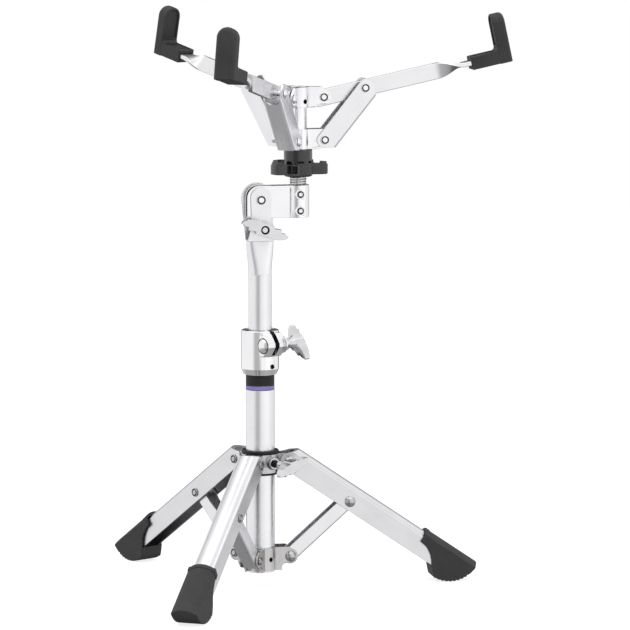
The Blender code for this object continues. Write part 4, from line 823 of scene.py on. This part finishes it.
tree.links.new(mix.outputs["Shader"], tree.nodes.new("ShaderNodeOutputMaterial").inputs["Surface"])
floor.data.materials.append(material)

world = bpy.data.worlds.new("studio")
scene.world = world
world.use_nodes = True
tree = world.node_tree
tree.nodes.clear()
direction = node(tree, "SeparateXYZ", Vector=tree.nodes.new("ShaderNodeTexCoord").outputs["Generated"])


def ramp(value, stops):
    made = node(tree, "ValToRGB", Fac=value)
    made.color_ramp.interpolation = "EASE"
    while len(made.color_ramp.elements) < len(stops):
        made.color_ramp.elements.new(0.5)
    for element, (place, level) in zip(made.color_ramp.elements, stops):
        element.position = place
        element.color = (level, level, level, 1)
    return made.outputs["Color"]


CAMERA_SIDE = -100.4              # compass angle of the camera from the stand, in degrees
angle = node(tree, "Math")
angle.operation = "ARCTAN2"
tree.links.new(direction.outputs["Y"], angle.inputs[0])
tree.links.new(direction.outputs["X"], angle.inputs[1])
around = node(tree, "MapRange", Value=angle.outputs["Value"])
for key, value in (("From Min", -math.pi), ("From Max", math.pi), ("To Min", -180.0), ("To Max", 180.0)):
    around.inputs[key].default_value = value
offset = node(tree, "Math")
offset.operation = "SUBTRACT"
tree.links.new(around.outputs["Result"], offset.inputs[0])
offset.inputs[1].default_value = CAMERA_SIDE
wrap = node(tree, "Math")
wrap.operation = "WRAP"
tree.links.new(offset.outputs["Value"], wrap.inputs[0])
wrap.inputs[1].default_value = 180.0
wrap.inputs[2].default_value = -180.0
share = node(tree, "MapRange", Value=wrap.outputs["Value"])
for key, value in (("From Min", -180.0), ("From Max", 180.0), ("To Min", 0.0), ("To Max", 1.0)):
    share.inputs[key].default_value = value


def at(degrees):
    return (degrees + 180) / 360


# Brightness of the room round the stand, by angle from the camera's side
ROOM = [(-180, 0.10), (-161, 0.20), (-147, 0.85), (-50, 0.85), (-27, 0.44), (-11, 0.44), (10, 0.90),
        (28, 0.92), (44, 1.0), (66, 1.0), (92, 0.84), (136, 0.80), (156, 0.25), (180, 0.10)]
round_room = ramp(share.outputs["Result"], [(at(degrees), level) for degrees, level in ROOM])
height = node(tree, "MapRange", Value=direction.outputs["Z"])
height.inputs["From Min"].default_value = -1.0
up_room = ramp(height.outputs["Result"], [(0.0, 0.38), (0.22, 0.42), (0.38, 1.0), (0.78, 1.0), (0.95, 1.3)])
ceiling = ramp(height.outputs["Result"], [(0.74, 0.0), (0.90, 1.0)])


def blended(kind, first, second):
    made = node(tree, "Mix")
    made.data_type = "RGBA"
    made.blend_type = kind
    made.inputs[0].default_value = 1.0
    tree.links.new(first, made.inputs[6])
    tree.links.new(second, made.inputs[7])
    return made.outputs[2]


room = blended("MULTIPLY", blended("LIGHTEN", round_room, ceiling), up_room)
reflected = node(tree, "Background", Color=room, Strength=1.18)
plain = node(tree, "Background", Color=(1, 1, 1, 1), Strength=1.0)
fill = node(tree, "Background", Color=(1, 1, 1, 1), Strength=0.7)
path = tree.nodes.new("ShaderNodeLightPath")
first = tree.nodes.new("ShaderNodeMixShader")
tree.links.new(path.outputs["Is Glossy Ray"], first.inputs[0])
tree.links.new(fill.outputs["Background"], first.inputs[1])
tree.links.new(reflected.outputs["Background"], first.inputs[2])
second = tree.nodes.new("ShaderNodeMixShader")
tree.links.new(path.outputs["Is Camera Ray"], second.inputs[0])
tree.links.new(first.outputs["Shader"], second.inputs[1])
tree.links.new(plain.outputs["Background"], second.inputs[2])
tree.links.new(second.outputs["Shader"], tree.nodes.new("ShaderNodeOutputWorld").inputs["Surface"])


def lamp(name, place, size, watts):
    light = bpy.data.lights.new(name, "AREA")
    light.size = size
    light.energy = watts
    obj = bpy.data.objects.new(name, light)
    obj.location = place
    obj.rotation_euler = (Vector((0, 0, 0.25)) - Vector(place)).to_track_quat("-Z", "Y").to_euler()
    obj.visible_glossy = False
    scene.collection.objects.link(obj)


lamp("softbox_left", (-1.6, -1.2, 1.9), 1.4, 26)
lamp("softbox_right", (1.7, -0.9, 1.6), 1.4, 18)
lamp("softbox_top", (0.1, 0.4, 2.4), 1.6, 16)

lens = bpy.data.cameras.new("camera")
lens.sensor_width = 36
lens.lens = 244.7
lens.clip_end = 50
camera = bpy.data.objects.new("camera", lens)
camera.location = (-0.6689, -3.6596, 0.7314)
camera.rotation_euler = (math.radians(82.5), 0, math.radians(-11.1))
scene.collection.objects.link(camera)
scene.camera = camera
scene.view_settings.view_transform = "Standard"
